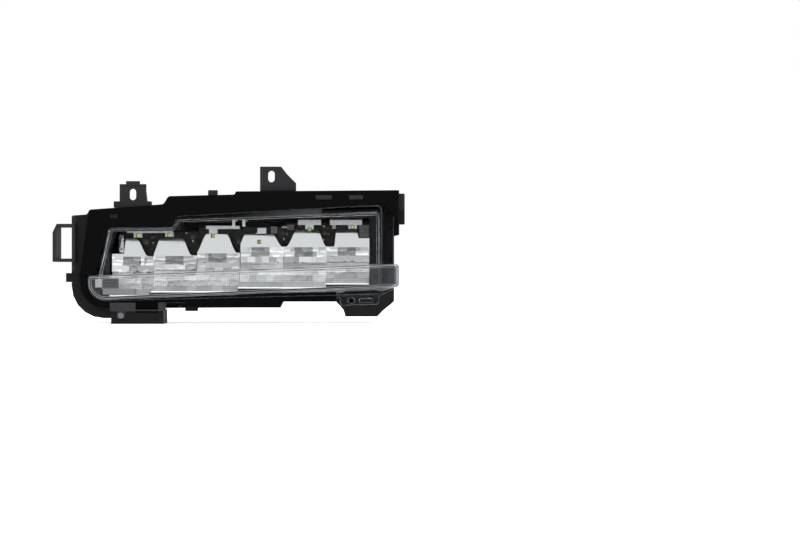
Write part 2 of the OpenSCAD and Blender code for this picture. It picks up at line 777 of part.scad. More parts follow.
module front_bezel() {
    color([0.05, 0.05, 0.055]) difference() {
        frame(
            [moved_in(bezel_edge, 0.8), bezel_edge, bezel_edge, moved_in(bezel_edge, bezel_t),
                moved_in(bezel_edge, bezel_t), window, window],
            [0, 0.8, flange_y, flange_y, bezel_t, bezel_dish + bezel_t, bezel_dish]
        );
        block([105.5, -1, inner_bottom_z - 1], [inner_reach + 1, flange_y + 1, top_z - 47.5]);
        for (k = [0 : 2])
            block(
                [hook_x[k] - hook_w[k] / 2, -1, hook_z[k] - hook_t / 2 - fit],
                [hook_x[k] + hook_w[k] / 2, flange_y + 1, hook_z[k] + hook_t / 2 + fit]
            );
        block([clip_left - 1, -1, -bottom_z - 2], [clip_right + 1, clip_t - 0.3, lens_bottom_z - 1.3]);
        block(
            [clip_left - 1, -1, -bottom_z + bezel_t + 0.3],
            [clip_right + 1, flange_y + 1, lens_bottom_z - 1.3]
        );
    }
}

// Clear tabs at the lens's lower edge: a screw foot, and a clip in front of the bezel's skirt
clip_left = -73.5;
clip_right = -55;
clip_t = 2.4;
pilot_play = 2.2;
module lens_tabs() {
    slab(lens_flange_y, seal_y) polygon(rounded([
        [109.2, lens_bottom_z + 8, 1],
        [150, lens_bottom_z + 8, 1],
        [150, inner_bottom_z - 3, 2],
        [109.2, inner_bottom_z - 4.5, 2]
    ]));
    block(
        [clip_left + 0.5, 0.4, -bottom_z + bezel_t + 0.6],
        [clip_right - 0.5, lens_flange_y + 1.5, lens_bottom_z - 2]
    );
    slab(-0.6, clip_t - 0.6) polygon(rounded([
        [clip_left, lens_bottom_z - 1.6, 0.5],
        [clip_right, lens_bottom_z - 1.6, 0.5],
        [clip_right - 5, -bottom_z - 0.4, 1],
        [clip_left + 4, -bottom_z - 3.6, 1],
        [clip_left, -bottom_z - 3.6, 1]
    ]));
}

module outer_lens() {
    color([0.85, 0.9, 0.95, 0.35]) difference() {
        union() {
            slab(lens_flange_y, seal_y) polygon(rounded(lens_flange));
            lens_tabs();
            loft([moved_in(dome_face, 1.2), dome_face, dome_base],
                [dome_face_y, dome_face_y + 1.2, lens_flange_y + 1]);
            loft([moved_in(blade_face, 1.2), blade_face, blade_base],
                [blade_face_y, blade_face_y + 1.2, lens_flange_y + 1]);
        }
        loft([moved_in(dome_face, lens_t), moved_in(dome_base, lens_t), moved_in(dome_base, lens_t)],
            [dome_face_y + lens_t, lens_flange_y + 1, seal_y + 1]);
        loft([moved_in(blade_face, lens_t), moved_in(blade_base, lens_t), moved_in(blade_base, lens_t)],
            [blade_face_y + lens_t, lens_flange_y + 1, seal_y + 1]);
        bar(pilot_d + pilot_play, pilot_x, pilot_z, lens_flange_y - 1, seal_y + 1);
        block([pilot_x + 9.4, lens_flange_y - 1, pilot_z - 2], [pilot_x + 22, seal_y + 1, pilot_z + 2]);
    }
}

module lens_seal() {
    color([0.08, 0.08, 0.09]) slab(seal_y, flange_y) ring(moved_in(mouth, -2.2), moved_in(mouth, -0.5));
}

module inner_bezel() {
    color([0.16, 0.17, 0.18]) {
        slab(flange_y, ledge_y) ring(moved_in(mouth, 0.5), opening);
        slab(ledge_y - 0.5, tunnel_back) ring(moved_in(opening, -tunnel_t), opening);
    }
}

// Windows in the arches, for the LEDs that lie behind them
led_play = 0.4;
module led_windows() {
    reach = led_size / 2 + led_play;
    for (i = [2 : 4])
        block(
            [led_x(i) - reach, sheet_back_y - 6, led_z(i) - reach],
            [led_x(i) + reach, sheet_back_y + 1, led_z(i) + reach]
        );
}

module outer_reflector() {
    color([0.85, 0.86, 0.88]) difference() {
        reflector(0, 2);
        led_windows();
    }
}

module inner_reflector() {
    color([0.85, 0.86, 0.88]) difference() {
        reflector(3, 5);
        led_windows();
    }
}

// LED boards: one for each pair of cells
board_low = [-14, -10, -4];
board_gap = 0.5;
board_notch_d = 5;
function board_top(p) = led_line(p) + 5.4;
module led_board(p) {
    left = pair_left(p) + board_gap + (p == 0 ? 5.5 : 0);
    right = pair_right(p) - board_gap;
    color([0.2, 0.21, 0.16]) difference() {
        block([left, board_y, board_low[p]], [right, board_y + board_t, board_top(p)]);
        for (x = board_screw_x(p))
            bar(screw_d, x, board_low[p] + 5, board_y - 1, board_y + board_t + 1);
        bar(board_notch_d, cell_left(2 * p + 1), board_top(p), board_y - 1, board_y + board_t + 1);
    }
}
function board_screw_x(p) = [cell_x(2 * p) + 4, cell_x(2 * p + 1) - 4];

module outer_led_board() { led_board(0); }
module middle_led_board() { led_board(1); }
module inner_led_board() { led_board(2); }

led_t = 1.2;
module leds() {
    for (i = [0 : cells - 1]) {
        x = led_x(i);
        z = led_z(i);
        half = led_size / 2;
        color([0.8, 0.8, 0.5]) {
            block([x - half, board_y - led_t * 0.6, z - half], [x + half, board_y, z + half]);
            bar(led_size * 0.8, x, z, board_y - led_t, board_y - led_t * 0.5);
        }
    }
}

// Chromed shades over the LEDs: a top rail, and for each LED a neck with a window in it.
// Each entry is the first cell, the last cell, how far the rail reaches past their middles on both
// sides, its foot over the line of the LEDs, and its height.
hood_t = 1.4;
neck_w = 9;
hoods = [
    [0, 1, 8, -5, 3.6, 4.1], [2, 2, 15, 21.8, 3.1, 3.4], [3, 3, 5.7, 3.9, -2, 6.2],
    [4, 4, 8.2, 16.7, 2.6, 5.5], [5, 5, 20, 14.7, 2.6, 5.5]
];
module led_hood(first, last, left_reach, right_reach, foot, height) {
    front = board_y - led_t - fit - hood_t;
    left = cell_x(first) - left_reach;
    right = cell_x(last) + right_reach;
    low = led_line(pair(first)) + foot;
    half = led_size / 2;
    difference() {
        union() {
            block([left, front, low], [right, front + hood_t, low + height]);
            for (i = [first : last])
                block(
                    [led_x(i) - neck_w / 2, front, led_z(i) - 2.1],
                    [led_x(i) + neck_w / 2, front + hood_t, low + 0.6]
                );
            for (x = [left + 1, right - 3.4])
                block([x, front + 0.5, low], [x + 2.4, board_y, low + 2]);
        }
        for (i = [first : last])
            block(
                [led_x(i) - half - 0.4, front - 1, led_z(i) - half - 0.2],
                [led_x(i) + half + 0.4, front + hood_t + 1, led_z(i) + half + 0.4]
            );
    }
}
module led_hoods() {
    color([0.82, 0.83, 0.85]) for (h = hoods) led_hood(h[0], h[1], h[2], h[3], h[4], h[5]);
}

// White clips that hang from the tunnel's ceiling and steady the middle board
clip_w = 3;
clip_h = 9;
clip_spread = 10.8;
module board_clips() {
    color([0.93, 0.93, 0.9]) for (k = [0, 1]) {
        x = ceiling_step_x + 1.6 + k * clip_spread;
        block([x, tunnel_back - 8, ceiling_z - clip_h], [x + clip_w, tunnel_back - 5, ceiling_z]);
        block([x, tunnel_back - 5.5, ceiling_z - 3], [x + clip_w, board_y, ceiling_z - 1]);
    }
}

// Plug-in connectors on the boards' faces
module board_connectors() {
    color([0.55, 0.56, 0.58]) {
        connector(pair_right(1) - 11, arch_z(3) + 0.5, 7, 7.5, 5);
        connector(pair_left(2) + 7, board_top(2) - 8, 7, 5.5, 4);
        connector(pair_right(2) - board_gap - 5.4, crease_z(5) + 10.6, 10.8, 13.4, 7);
    }
}
module connector(x, z, w, h, d) {
    difference() {
        block([x - w / 2, board_y - d, z], [x + w / 2, board_y, z + h]);
        for (k = [1 : 2])
            block(
                [x - w / 2 - 1, board_y - d - 1, z + h * k / 3 - 0.4],
                [x + w / 2 + 1, board_y - d + 0.8, z + h * k / 3 + 0.4]
            );
    }
}

// Small pan-head screws, their heads towards the front
module small_screw(x, z, y, d, head_d, head_t, length) {
    bar(head_d, x, z, y - head_t, y);
    bar(d, x, z, y - head_t / 2, y + length);
}
module board_screws() {
    color("silver") for (p = [0 : 2]) for (x = board_screw_x(p))
        small_screw(x, board_low[p] + 5, board_y, screw_d - 0.3, 5, 1.4, board_t + 4);
}

// Flat strips from the LED boards down to the driver board
jumper_w = 9;
jumper_t = 0.4;
function jumper_x(p) = (p - 1) * (2 * cell_pitch - 6);
module board_jumpers() {
    color([0.75, 0.6, 0.3]) for (p = [0 : 2]) {
        z = board_low[p];
        translate([jumper_x(p) - jumper_w / 2, 0, 0]) rotate([90, 0, 90]) linear_extrude(jumper_w) polygon([
            [board_y - jumper_t, z + 3], [board_y, z + 3], [board_y, z - 0.6], [driver_y, z - 0.6 - 1.2],
            [driver_y, driver_high - 4], [driver_y - jumper_t, driver_high - 4],
            [driver_y - jumper_t, z - 0.6 - 1.2 - jumper_t], [board_y - jumper_t, z - 0.6 - jumper_t]
        ]);
    }
}

// Light slotted trim inside the blade's outer end
trim_w = 42;
trim_grid_w = 23.5;
trim_slots = 3;
trim_slot_pitch = 2.9;
module corner_trim() {
    x = lens_left + 8.5;
    y = flange_y;
    z = blade_top_left - 4.8;
    color([0.7, 0.71, 0.72]) difference() {
        union() {
            block([x, y - 4, z - 7.5], [x + trim_grid_w, y, z + 2]);
            block([x, y - 7, z - 7.5], [x + 7, y - 3, z + 2]);
            block([x + 8, y - 6, z - 15], [x + trim_w, y, z - 9]);
            block([x + 6, y - 3, z - 10], [x + trim_grid_w, y, z - 6]);
        }
        for (k = [0 : trim_slots - 1])
            block(
                [x + 8.5, y - 5, z - 6.4 + trim_slot_pitch * k],
                [x + trim_grid_w - 1.5, y - 1.4, z - 4.8 + trim_slot_pitch * k]
            );
    }
}

// Grey plate and screw that hold the bezel's lower edge to the block
retainer_x = -120.3;
retainer_z = -bottom_z - 8.2;
retainer_pin_d = 3.2;
retainer_t = 1.2;
module retainer_plate() {
    color([0.4, 0.41, 0.43]) difference() {
        union() {
            block([block_left - 1, -retainer_t, -bottom_z - 4], [-105.4, 0, lens_bottom_z - 1.5]);
            block([retainer_x - 4.5, -retainer_t, retainer_z - 3.5], [retainer_x + 4.5, 0, -bottom_z - 3]);
            block(
                [block_right - 5.3, -retainer_t, -bottom_z - 3.6],
                [block_right + 2.4, 0, lens_bottom_z - 1.5]
            );
            block([-106, -retainer_t, -bottom_z - 3.6], [block_right - 5, 0, -bottom_z - 2.2]);
        }
        bar(retainer_pin_d, retainer_x, retainer_z, -retainer_t - 1, 1);
    }
}
module retainer_screw() {
    color([0.75, 0.76, 0.78])
        small_screw(retainer_x, retainer_z, -retainer_t, retainer_pin_d - 0.2, 6.4, 2.4, retainer_t + 9);
}

module heat_sink_plate() {
    slab(sink_y, sink_y + sink_t) {
        pedestals(5);
        for (p = sink_screw_places) translate(p) circle(d = sink_ear_d);
    }
}
sink_y = back_outside + gasket_t;
module heat_sink() {
    fins = floor((pair_right(2) - pair_left(0) - 2 * pedestal_end - fin_t) / fin_pitch);
    color([0.62, 0.63, 0.65]) difference() {
        union() {
            slab(sink_face_y, sink_y + 0.5) pedestals(0);
            heat_sink_plate();
            for (k = [0 : fins]) {
                x = pair_left(0) + pedestal_end + k * fin_pitch;
                p = x < pair_right(0) - fin_t ? 0 : x < pair_right(1) - fin_t ? 1 : 2;
                block(
                    [x, sink_y + 1, pedestal_low(p) - 3.5],
                    [x + fin_t, sink_y + sink_t + fin_h, pedestal_high(p) + 3.5]
                );
            }
        }
        for (p = sink_screw_places) bar(sink_screw_d, p[0], p[1], sink_y - 1, sink_y + sink_t + 1);
        for (p = [0 : 2]) for (x = board_screw_x(p))
            bar(screw_d, x, board_low[p] + 5, sink_face_y - 1, sink_face_y + 6);
    }
}
module heat_sink_gasket() {
    color([0.1, 0.1, 0.1]) slab(back_outside, sink_y) difference() {
        pedestals(4);
        pedestals(1.2);
        for (p = sink_screw_places) translate(p) circle(d = sink_screw_d);
    }
}
module heat_sink_screws() {
    color("silver") for (p = sink_screw_places) {
        bar(6.5, p[0], p[1], sink_y + sink_t, sink_y + sink_t + 2.4);
        bar(sink_thread_d, p[0], p[1], back_outside - 6, sink_y + sink_t + 1);
    }
}

module driver_board() {
    color([0.1, 0.25, 0.14]) difference() {
        block([driver_left, driver_y, driver_low], [driver_right, driver_y + board_t, driver_high]);
        for (p = post_places) bar(screw_d + 0.2, p[0], p[1], driver_y - 1, driver_y + board_t + 1);
    }
}
// Coil and chips on the driver board (left, foot, width, height, thickness) and three capacitors
driver_chips = [
    [driver_left + 44, driver_low + 4, 12, 12, 5],
    [driver_right - 64, driver_low + 6, 12, 12, 2],
    [driver_right - 38, driver_low + 8, 6, 6, 1.6]
];
can_d = 8;
can_h = 9;
can_pitch = 12;
can_x = driver_left + 74;
can_z = driver_low + 12;
module driver_parts() {
    color([0.2, 0.2, 0.21]) {
        for (q = driver_chips)
            block([q[0], driver_y - q[4], q[1]], [q[0] + q[2], driver_y, q[1] + q[3]]);
        for (k = [0 : 2])
            bar(can_d, can_x + can_pitch * k, can_z, driver_y - can_h, driver_y);
    }
}
module driver_screws() {
    color("silver") for (p = post_places) small_screw(p[0], p[1], driver_y, screw_d - 0.5, 5.5, 1.8, 6);
}
module connector_pins() {
    color([0.8, 0.75, 0.55]) for (k = [0 : pins - 1]) pin(k, 0);
}
module vent_cap() {
    color([0.07, 0.07, 0.07]) {
        bar(vent_cap_d, vent_x, vent_z, back_outside, back_outside + 5);
        bar(vent_d - 0.2, vent_x, vent_z, back_inside - 1, back_outside + 1);
    }
}

// Moves the layout so that the middle of the inner fixing slot is the origin
module from_slot() {
    translate([-datum_x, -flange_y, -datum_z]) children();
}

from_slot() lamp_housing();
from_slot() front_bezel();
from_slot() outer_lens();
from_slot() lens_seal();
from_slot() inner_bezel();
from_slot() outer_reflector();
from_slot() inner_reflector();
from_slot() outer_led_board();
from_slot() middle_led_board();
from_slot() inner_led_board();
from_slot() leds();
from_slot() led_hoods();
from_slot() board_clips();
from_slot() board_connectors();
from_slot() board_screws();
from_slot() board_jumpers();
from_slot() corner_trim();
from_slot() retainer_plate();
from_slot() retainer_screw();
from_slot() heat_sink();
from_slot() heat_sink_gasket();
from_slot() heat_sink_screws();
from_slot() driver_board();
from_slot() driver_parts();
from_slot() driver_screws();
from_slot() connector_pins();
from_slot() vent_cap();
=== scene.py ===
"""The looks of a front bumper turn signal and daytime lamp, laid over its packed construction."""

import math

import bpy
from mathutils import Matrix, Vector


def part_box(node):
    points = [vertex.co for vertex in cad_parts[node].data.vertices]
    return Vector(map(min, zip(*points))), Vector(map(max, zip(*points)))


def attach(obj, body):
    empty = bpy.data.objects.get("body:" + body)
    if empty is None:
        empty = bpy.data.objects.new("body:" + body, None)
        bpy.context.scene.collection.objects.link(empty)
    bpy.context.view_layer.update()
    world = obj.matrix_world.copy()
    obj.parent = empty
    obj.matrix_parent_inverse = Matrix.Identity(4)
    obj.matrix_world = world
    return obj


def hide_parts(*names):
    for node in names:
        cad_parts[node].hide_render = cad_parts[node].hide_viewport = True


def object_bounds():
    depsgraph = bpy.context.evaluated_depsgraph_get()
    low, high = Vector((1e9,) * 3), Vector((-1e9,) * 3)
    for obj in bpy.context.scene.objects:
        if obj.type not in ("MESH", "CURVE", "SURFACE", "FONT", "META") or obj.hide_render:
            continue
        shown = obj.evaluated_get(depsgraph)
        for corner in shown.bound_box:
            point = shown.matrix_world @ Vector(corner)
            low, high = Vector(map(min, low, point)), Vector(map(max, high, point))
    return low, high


bl_info = {
    "name": "Bumper lamp",
    "version": (1, 0, 0),
    "blender": (4, 5, 0),
    "location": "View3D > Sidebar > Lamp",
    "description": "Builds the finished surfaces of a bumper turn signal and daytime lamp",
    "category": "Add Mesh",
}

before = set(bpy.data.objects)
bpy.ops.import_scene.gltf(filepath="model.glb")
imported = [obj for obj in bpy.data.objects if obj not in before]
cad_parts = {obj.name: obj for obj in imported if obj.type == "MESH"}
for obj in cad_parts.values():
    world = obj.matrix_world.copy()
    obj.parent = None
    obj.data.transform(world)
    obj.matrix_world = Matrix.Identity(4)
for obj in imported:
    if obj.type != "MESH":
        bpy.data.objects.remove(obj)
CAD_BOX = [list(corner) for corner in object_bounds()]
MM = 0.001

# The lamp is laid out from the seam between its two reflectors. This is where the seam lies.
SEAM_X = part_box("inner_reflector")[0].x - 0.35 * MM
FRONT_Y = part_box("front_bezel")[0].y
LAYOUT_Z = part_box("inner_reflector")[1].z - 18.7 * MM


def spot(x, y, z):
    """A place in the row frame, in metres, from millimetres beside the seam."""
    return Vector((SEAM_X + x * MM, FRONT_Y + y * MM, LAYOUT_Z + z * MM))


class LampSizes(bpy.types.PropertyGroup):
    """Sizes of the finished surfaces"""

    bezel_edge: bpy.props.FloatProperty(
        name="Bezel edge", description="Rounding of the bezel's edges",
        default=0.6 * MM, min=0.1 * MM, max=1.0 * MM, unit="LENGTH", precision=4)
    moulded_edge: bpy.props.FloatProperty(
        name="Moulded edge", description="Rounding of the housing's edges",
        default=0.3 * MM, min=0.1 * MM, max=0.5 * MM, unit="LENGTH", precision=4)
    lens_edge: bpy.props.FloatProperty(
        name="Lens edge", description="Rounding of the lens's edges",
        default=0.45 * MM, min=0.1 * MM, max=0.8 * MM, unit="LENGTH", precision=4)
    small_edge: bpy.props.FloatProperty(
        name="Small edge", description="Rounding of the small parts' edges",
        default=0.2 * MM, min=0.05 * MM, max=0.4 * MM, unit="LENGTH", precision=4)
    cell_pitch: bpy.props.FloatProperty(
        name="Cell pitch", description="Width of one reflector cell",
        default=46.5 * MM, min=44 * MM, max=48 * MM, unit="LENGTH", precision=4)
    prism_pitch: bpy.props.FloatProperty(
        name="Prism pitch", description="Distance between the small prisms on the lens's outer flank",
        default=2.3 * MM, min=1.5 * MM, max=4 * MM, unit="LENGTH", precision=4)
    dot_pitch: bpy.props.FloatProperty(
        name="Dot pitch", description="Distance between the fine dots on the reflectors' lower facets",
        default=2.1 * MM, min=1 * MM, max=4 * MM, unit="LENGTH", precision=4)
    camera_distance: bpy.props.FloatProperty(
        name="Camera distance", description="From the bezel's rim to the camera",
        default=1400 * MM, min=0.5, max=4, unit="LENGTH")
    focal_length: bpy.props.FloatProperty(
        name="Focal length", description="Focal length of the camera's lens in millimetres",
        default=60, min=20, max=200)


def colour(name, description, default):
    """A colour property with its defaults in linear light."""
    return bpy.props.FloatVectorProperty(
        name=name, description=description, default=default, size=3, min=0, max=1, subtype="COLOR")


class LampColours(bpy.types.PropertyGroup):
    """Colours of the finishes"""

    bezel: colour("Bezel", "Smooth black of the bezel", (0.0019, 0.002, 0.0023))
    housing: colour("Housing", "Dark grey of the housing", (0.021, 0.021, 0.0225))
    # Painted shade: the housing's plastic darkened beside and below the bezel
    housing_painted_shade: colour(
        "Housing in painted shade", "The same plastic beside and below the bezel", (0.0075, 0.0075, 0.0082))
    mask: colour("Mask", "Grey black of the mask round the cells", (0.0075, 0.008, 0.0086))
    chrome: colour("Chrome", "Plated plastic of the reflectors", (0.84, 0.837, 0.825))
    lens: colour("Lens", "Clear plastic of the lens", (0.97, 0.98, 0.985))
    # Painted shade: the lens's plastic darkened past the bezel's inner end and on its roof and floor
    lens_painted_shade: colour("Lens in painted shade", "The same plastic past the bezel's inner end", (0.41, 0.42, 0.44))
    # Painted sheen: the light colour that stands in for highlights on the lens's edges, a reflection on the
    # blade's front and a sheen on its roof
    painted_sheen: colour("Painted sheen", "What the lens's rounded edges scatter", (0.78, 0.8, 0.83))
    board: colour("Board", "Olive lacquer of the LED boards", (0.0065, 0.006, 0.0036))
    # Also the colour of the LEDs' painted glow
    phosphor: colour("Phosphor", "Yellow layer of the LEDs", (0.56, 0.6, 0.2))
    trim: colour("Trim", "Light plastic inside the lens", (0.16, 0.16, 0.165))
    retainer: colour("Retainer", "Grey plate at the lower edge", (0.036, 0.036, 0.038))
    aluminium: colour("Aluminium", "Die-cast heat sink", (0.42, 0.43, 0.44))
    steel: colour("Steel", "Plated screws", (0.55, 0.55, 0.56))


def sizes():
    return bpy.context.scene.lamp_sizes


def colours():
    return bpy.context.scene.lamp_colours


# Finishes

def new_material(name, base, roughness, metallic=0.0, specular=0.5):
    """A Principled finish, with its node tree and shader for further work."""
    material = bpy.data.materials.new(name)
    material.use_nodes = True
    shader = material.node_tree.nodes["Principled BSDF"]
    shader.inputs["Base Color"].default_value = (*base, 1)
    shader.inputs["Roughness"].default_value = roughness
    shader.inputs["Metallic"].default_value = metallic
    shader.inputs["Specular IOR Level"].default_value = specular
    return material, material.node_tree, shader


def add_node(tree, kind, **values):
    """A node with its sockets and settings given by name."""
    node = tree.nodes.new(kind)
    for key, value in values.items():
        socket = node.inputs.get(key.replace("_", " ").title())
        if socket is not None:
            socket.default_value = value
        else:
            setattr(node, key, value)
    return node


def object_place(tree):
    return tree.nodes.new("ShaderNodeTexCoord").outputs["Object"]


def feed(tree, value, socket):
    """Links a value to a socket, or sets a plain number or colour there."""
    if isinstance(value, bpy.types.NodeSocket):
        tree.links.new(value, socket)
    elif isinstance(value, (int, float)):
        socket.default_value = value
    else:
        socket.default_value = (*value, 1)


def mapped(tree, **settings):
    """The object's own coordinates, scaled or turned."""
    mapping = add_node(tree, "ShaderNodeMapping", **settings)
    tree.links.new(object_place(tree), mapping.inputs["Vector"])
    return mapping.outputs["Vector"]


def axis_of(tree, axis):
    """One of the object's own coordinates."""
    axes = tree.nodes.new("ShaderNodeSeparateXYZ")
    tree.links.new(object_place(tree), axes.inputs["Vector"])
    return axes.outputs[axis]


def reckoned(tree, operation, first, second, clamps=False):
    """Two values added, multiplied or compared."""
    node = add_node(tree, "ShaderNodeMath", operation=operation, use_clamp=clamps)
    feed(tree, first, node.inputs[0])
    feed(tree, second, node.inputs[1])
    return node.outputs["Value"]


def mixed(tree, share, first, second, blend="MIX"):
    """Two colours mixed by a share of the second."""
    mix = tree.nodes.new("ShaderNodeMix")
    mix.data_type = "RGBA"
    mix.blend_type = blend
    for key, value in (("Factor", share), ("A", first), ("B", second)):
        feed(tree, value, mix.inputs[key])
    return mix.outputs["Result"]


def mixed_finish(tree, share, first, second):
    """Two finishes mixed by a share of the second."""
    mix = tree.nodes.new("ShaderNodeMixShader")
    for socket, value in zip(mix.inputs, (share, first, second)):
        tree.links.new(value, socket)
    return mix.outputs["Shader"]


def plain_finish(tree, kind, base):
    """A finish with nothing but a colour."""
    node = tree.nodes.new(kind)
    feed(tree, base, node.inputs["Color"])
    return node.outputs["BSDF"]


def base_of(shader):
    """What feeds a finish's colour."""
    return shader.inputs["Base Color"].links[0].from_socket


def noise_of(tree, scale, detail=3.0, stretch=None):
    """Noise on the object's own coordinates, longer along one axis where stretch is given."""
    place = object_place(tree) if stretch is None else mapped(tree, scale=stretch)
    noise = add_node(tree, "ShaderNodeTexNoise", scale=scale, detail=detail)
    tree.links.new(place, noise.inputs["Vector"])
    return noise.outputs["Fac"]


def spread(tree, value, low, high, start=0.3, end=0.7):
    """A value taken from one range to another."""
    ramp = tree.nodes.new("ShaderNodeMapRange")
    for key, number in (("From Min", start), ("From Max", end), ("To Min", low), ("To Max", high)):
        ramp.inputs[key].default_value = number
    tree.links.new(value, ramp.inputs["Value"])
    return ramp.outputs["Result"]


def relief(tree, shader, height, depth, strength=1.0):
    """A bump of a height over a real depth in metres."""
    bump = tree.nodes.new("ShaderNodeBump")
    bump.inputs["Distance"].default_value = depth
    bump.inputs["Strength"].default_value = strength
    tree.links.new(height, bump.inputs["Height"])
    tree.links.new(bump.outputs["Normal"], shader.inputs["Normal"])


def tinted(tree, shader, value, dark, light):
    """Base colour between two shades."""
    tree.links.new(mixed(tree, value, dark, light), shader.inputs["Base Color"])


def attribute(tree, name):
    """A value that the mesh carries."""
    node = tree.nodes.new("ShaderNodeAttribute")
    node.attribute_name = name
    return node.outputs["Fac"]


def shade(base, factor):
    return tuple(min(c * factor, 1) for c in base)


def satin_black():
    """The bezel: smooth moulded black with faint flow marks along it."""
    base = colours().bezel
    material, tree, shader = new_material("satin black", base, 0.3, specular=0.03)
    flow = noise_of(tree, 18, 4, (0.35, 1, 1.6))
    tinted(tree, shader, flow, shade(base, 0.7), shade(base, 1.35))
    tree.links.new(spread(tree, flow, 0.28, 0.42), shader.inputs["Roughness"])
    relief(tree, shader, noise_of(tree, 900, 2), 0.012 * MM, 0.5)
    return material


def grained(name, base, roughness, scale=1500, specular=0.12, depth=0.05):
    """Fine-grained moulded plastic with a slightly polished look on its raised spots."""
    material, tree, shader = new_material(name, base, roughness, specular=specular)
    cloud = noise_of(tree, 60, 4)
    tinted(tree, shader, cloud, shade(base, 0.78), shade(base, 1.22))
    grain = noise_of(tree, scale, 3)
    tree.links.new(spread(tree, grain, roughness + 0.1, roughness - 0.08), shader.inputs["Roughness"])
    relief(tree, shader, grain, depth * MM, 0.8)
    return material


# Where the lens's look changes along it, in millimetres beside the seam: painted shade darkens it past the
# bezel's inner end, and a painted sheen on its roof rises from the middle and stops before that end
PAINTED_SHADE_END = (152.8, 154)
PAINTED_SHEEN_RISE = (3, 70)
PAINTED_SHEEN_STOP = (89, 91)
PAINTED_SHEEN_SHARE = 0.035


def clear_plastic():
    """The lens: clear plastic, with a painted highlight along its edges, a painted sheen on its roof over
    the inner cells, and painted shade past the bezel's inner end and on its roof and floor.
    """
    material, tree, shader = new_material("clear lens", colours().lens, 0.0)
    shader.inputs["IOR"].default_value = 1.49
    shader.inputs["Specular Tint"].default_value = (0.02, 0.02, 0.021, 1)
    shader.inputs["Transmission Weight"].default_value = 1.0
    relief(tree, shader, noise_of(tree, 35, 2), 0.02 * MM, 0.2)
    along = axis_of(tree, "X")
    painted_shade_ends, rise, stop = [[spot(x, 0, 0).x for x in ends] for ends in (PAINTED_SHADE_END, PAINTED_SHEEN_RISE, PAINTED_SHEEN_STOP)]
    # Painted shade: darker past the bezel's inner end and on the roof and floor faces
    painted_shade_share = reckoned(tree, "MAXIMUM", spread(tree, along, 0, 1, *painted_shade_ends), attribute(tree, "level_painted_shade"))
    tinted(tree, shader, painted_shade_share, colours().lens, colours().lens_painted_shade)
    # Painted sheen on the roof over the inner cells, painted highlights on the edges and a painted
    # reflection on the blade's front, mixed in as a light diffuse finish
    band = reckoned(
        tree, "MULTIPLY", spread(tree, along, 0, PAINTED_SHEEN_SHARE, *rise), spread(tree, along, 1, 0, *stop))
    roof = reckoned(tree, "MULTIPLY", band, attribute(tree, "roof"))
    painted_sheen_share = reckoned(tree, "MAXIMUM", roof, attribute(tree, "edge"))
    painted_sheen = plain_finish(tree, "ShaderNodeBsdfDiffuse", colours().painted_sheen)
    plastic = mixed_finish(tree, painted_sheen_share, shader.outputs["BSDF"], painted_sheen)
    unbent = plain_finish(tree, "ShaderNodeBsdfTransparent", base_of(shader))
    walls = mixed_finish(tree, attribute(tree, "wall"), plastic, unbent)
    # Light thrown back by what lies behind the lens passes it unbent.
    path = tree.nodes.new("ShaderNodeLightPath").outputs
    thrown = reckoned(tree, "MAXIMUM", path["Is Glossy Ray"], path["Is Diffuse Ray"])
    back = reckoned(tree, "SUBTRACT", thrown, path["Is Transmission Ray"], clamps=True)
    passing = reckoned(tree, "MAXIMUM", path["Is Shadow Ray"], back)
    clear = plain_finish(tree, "ShaderNodeBsdfTransparent", colours().lens)
    surface = mixed_finish(tree, passing, walls, clear)
    tree.links.new(surface, tree.nodes["Material Output"].inputs["Surface"])
    return material


def plated():
    """Chromed plastic: a mirror whose facets carry painted reflections of differing lightness, with fine
    dots on the lower ones.
    """
    base = colours().chrome
    material, tree, shader = new_material("plated plastic", base, 0.07, metallic=1.0)
    tree.links.new(spread(tree, noise_of(tree, 45, 4), 0.05, 0.13), shader.inputs["Roughness"])
    cool = (base[0] * 0.99, base[1], min(base[2] * 1.03, 1))
    tinted(tree, shader, noise_of(tree, 22, 2), shade(base, 0.95), cool)
    # Painted reflections: each facet's base colour scaled by its painted lightness
    with_painted_light = mixed(tree, 1.0, base_of(shader), attribute(tree, "tone_with_painted_light"), "MULTIPLY")
    dots = add_node(tree, "ShaderNodeTexVoronoi", scale=1 / sizes().dot_pitch, randomness=0.15)
    tree.links.new(mapped(tree, scale=(1, 0, 1)), dots.inputs["Vector"])
    distance = dots.outputs["Distance"]
    zone = attribute(tree, "dotted")
    tree.links.new(spread(tree, zone, 1.0, 0.45, 0, 1), shader.inputs["Metallic"])
    specked = mixed(tree, zone, with_painted_light, spread(tree, distance, 1.12, 0.7, 0.12, 0.62), "MULTIPLY")
    tree.links.new(specked, shader.inputs["Base Color"])
    relief(tree, shader, reckoned(tree, "MULTIPLY", distance, zone), 0.5 * MM, 0.8)
    return material


def brushed(name, base, roughness):
    """Metal with faint drawn lines."""
    material, tree, shader = new_material(name, base, roughness, metallic=1.0)
    lines = noise_of(tree, 700, 3, (0.1, 1, 1))
    tree.links.new(spread(tree, lines, roughness - 0.08, roughness + 0.12), shader.inputs["Roughness"])
    relief(tree, shader, lines, 0.02 * MM, 0.6)
    return material


# How far behind the bezel's rim the painted shade on the heat sink's pad gives way to bare metal, in
# millimetres
PAD_DEPTH = (60, 62)
PAD_PAINTED_SHADE = (0.012, 0.012, 0.012)


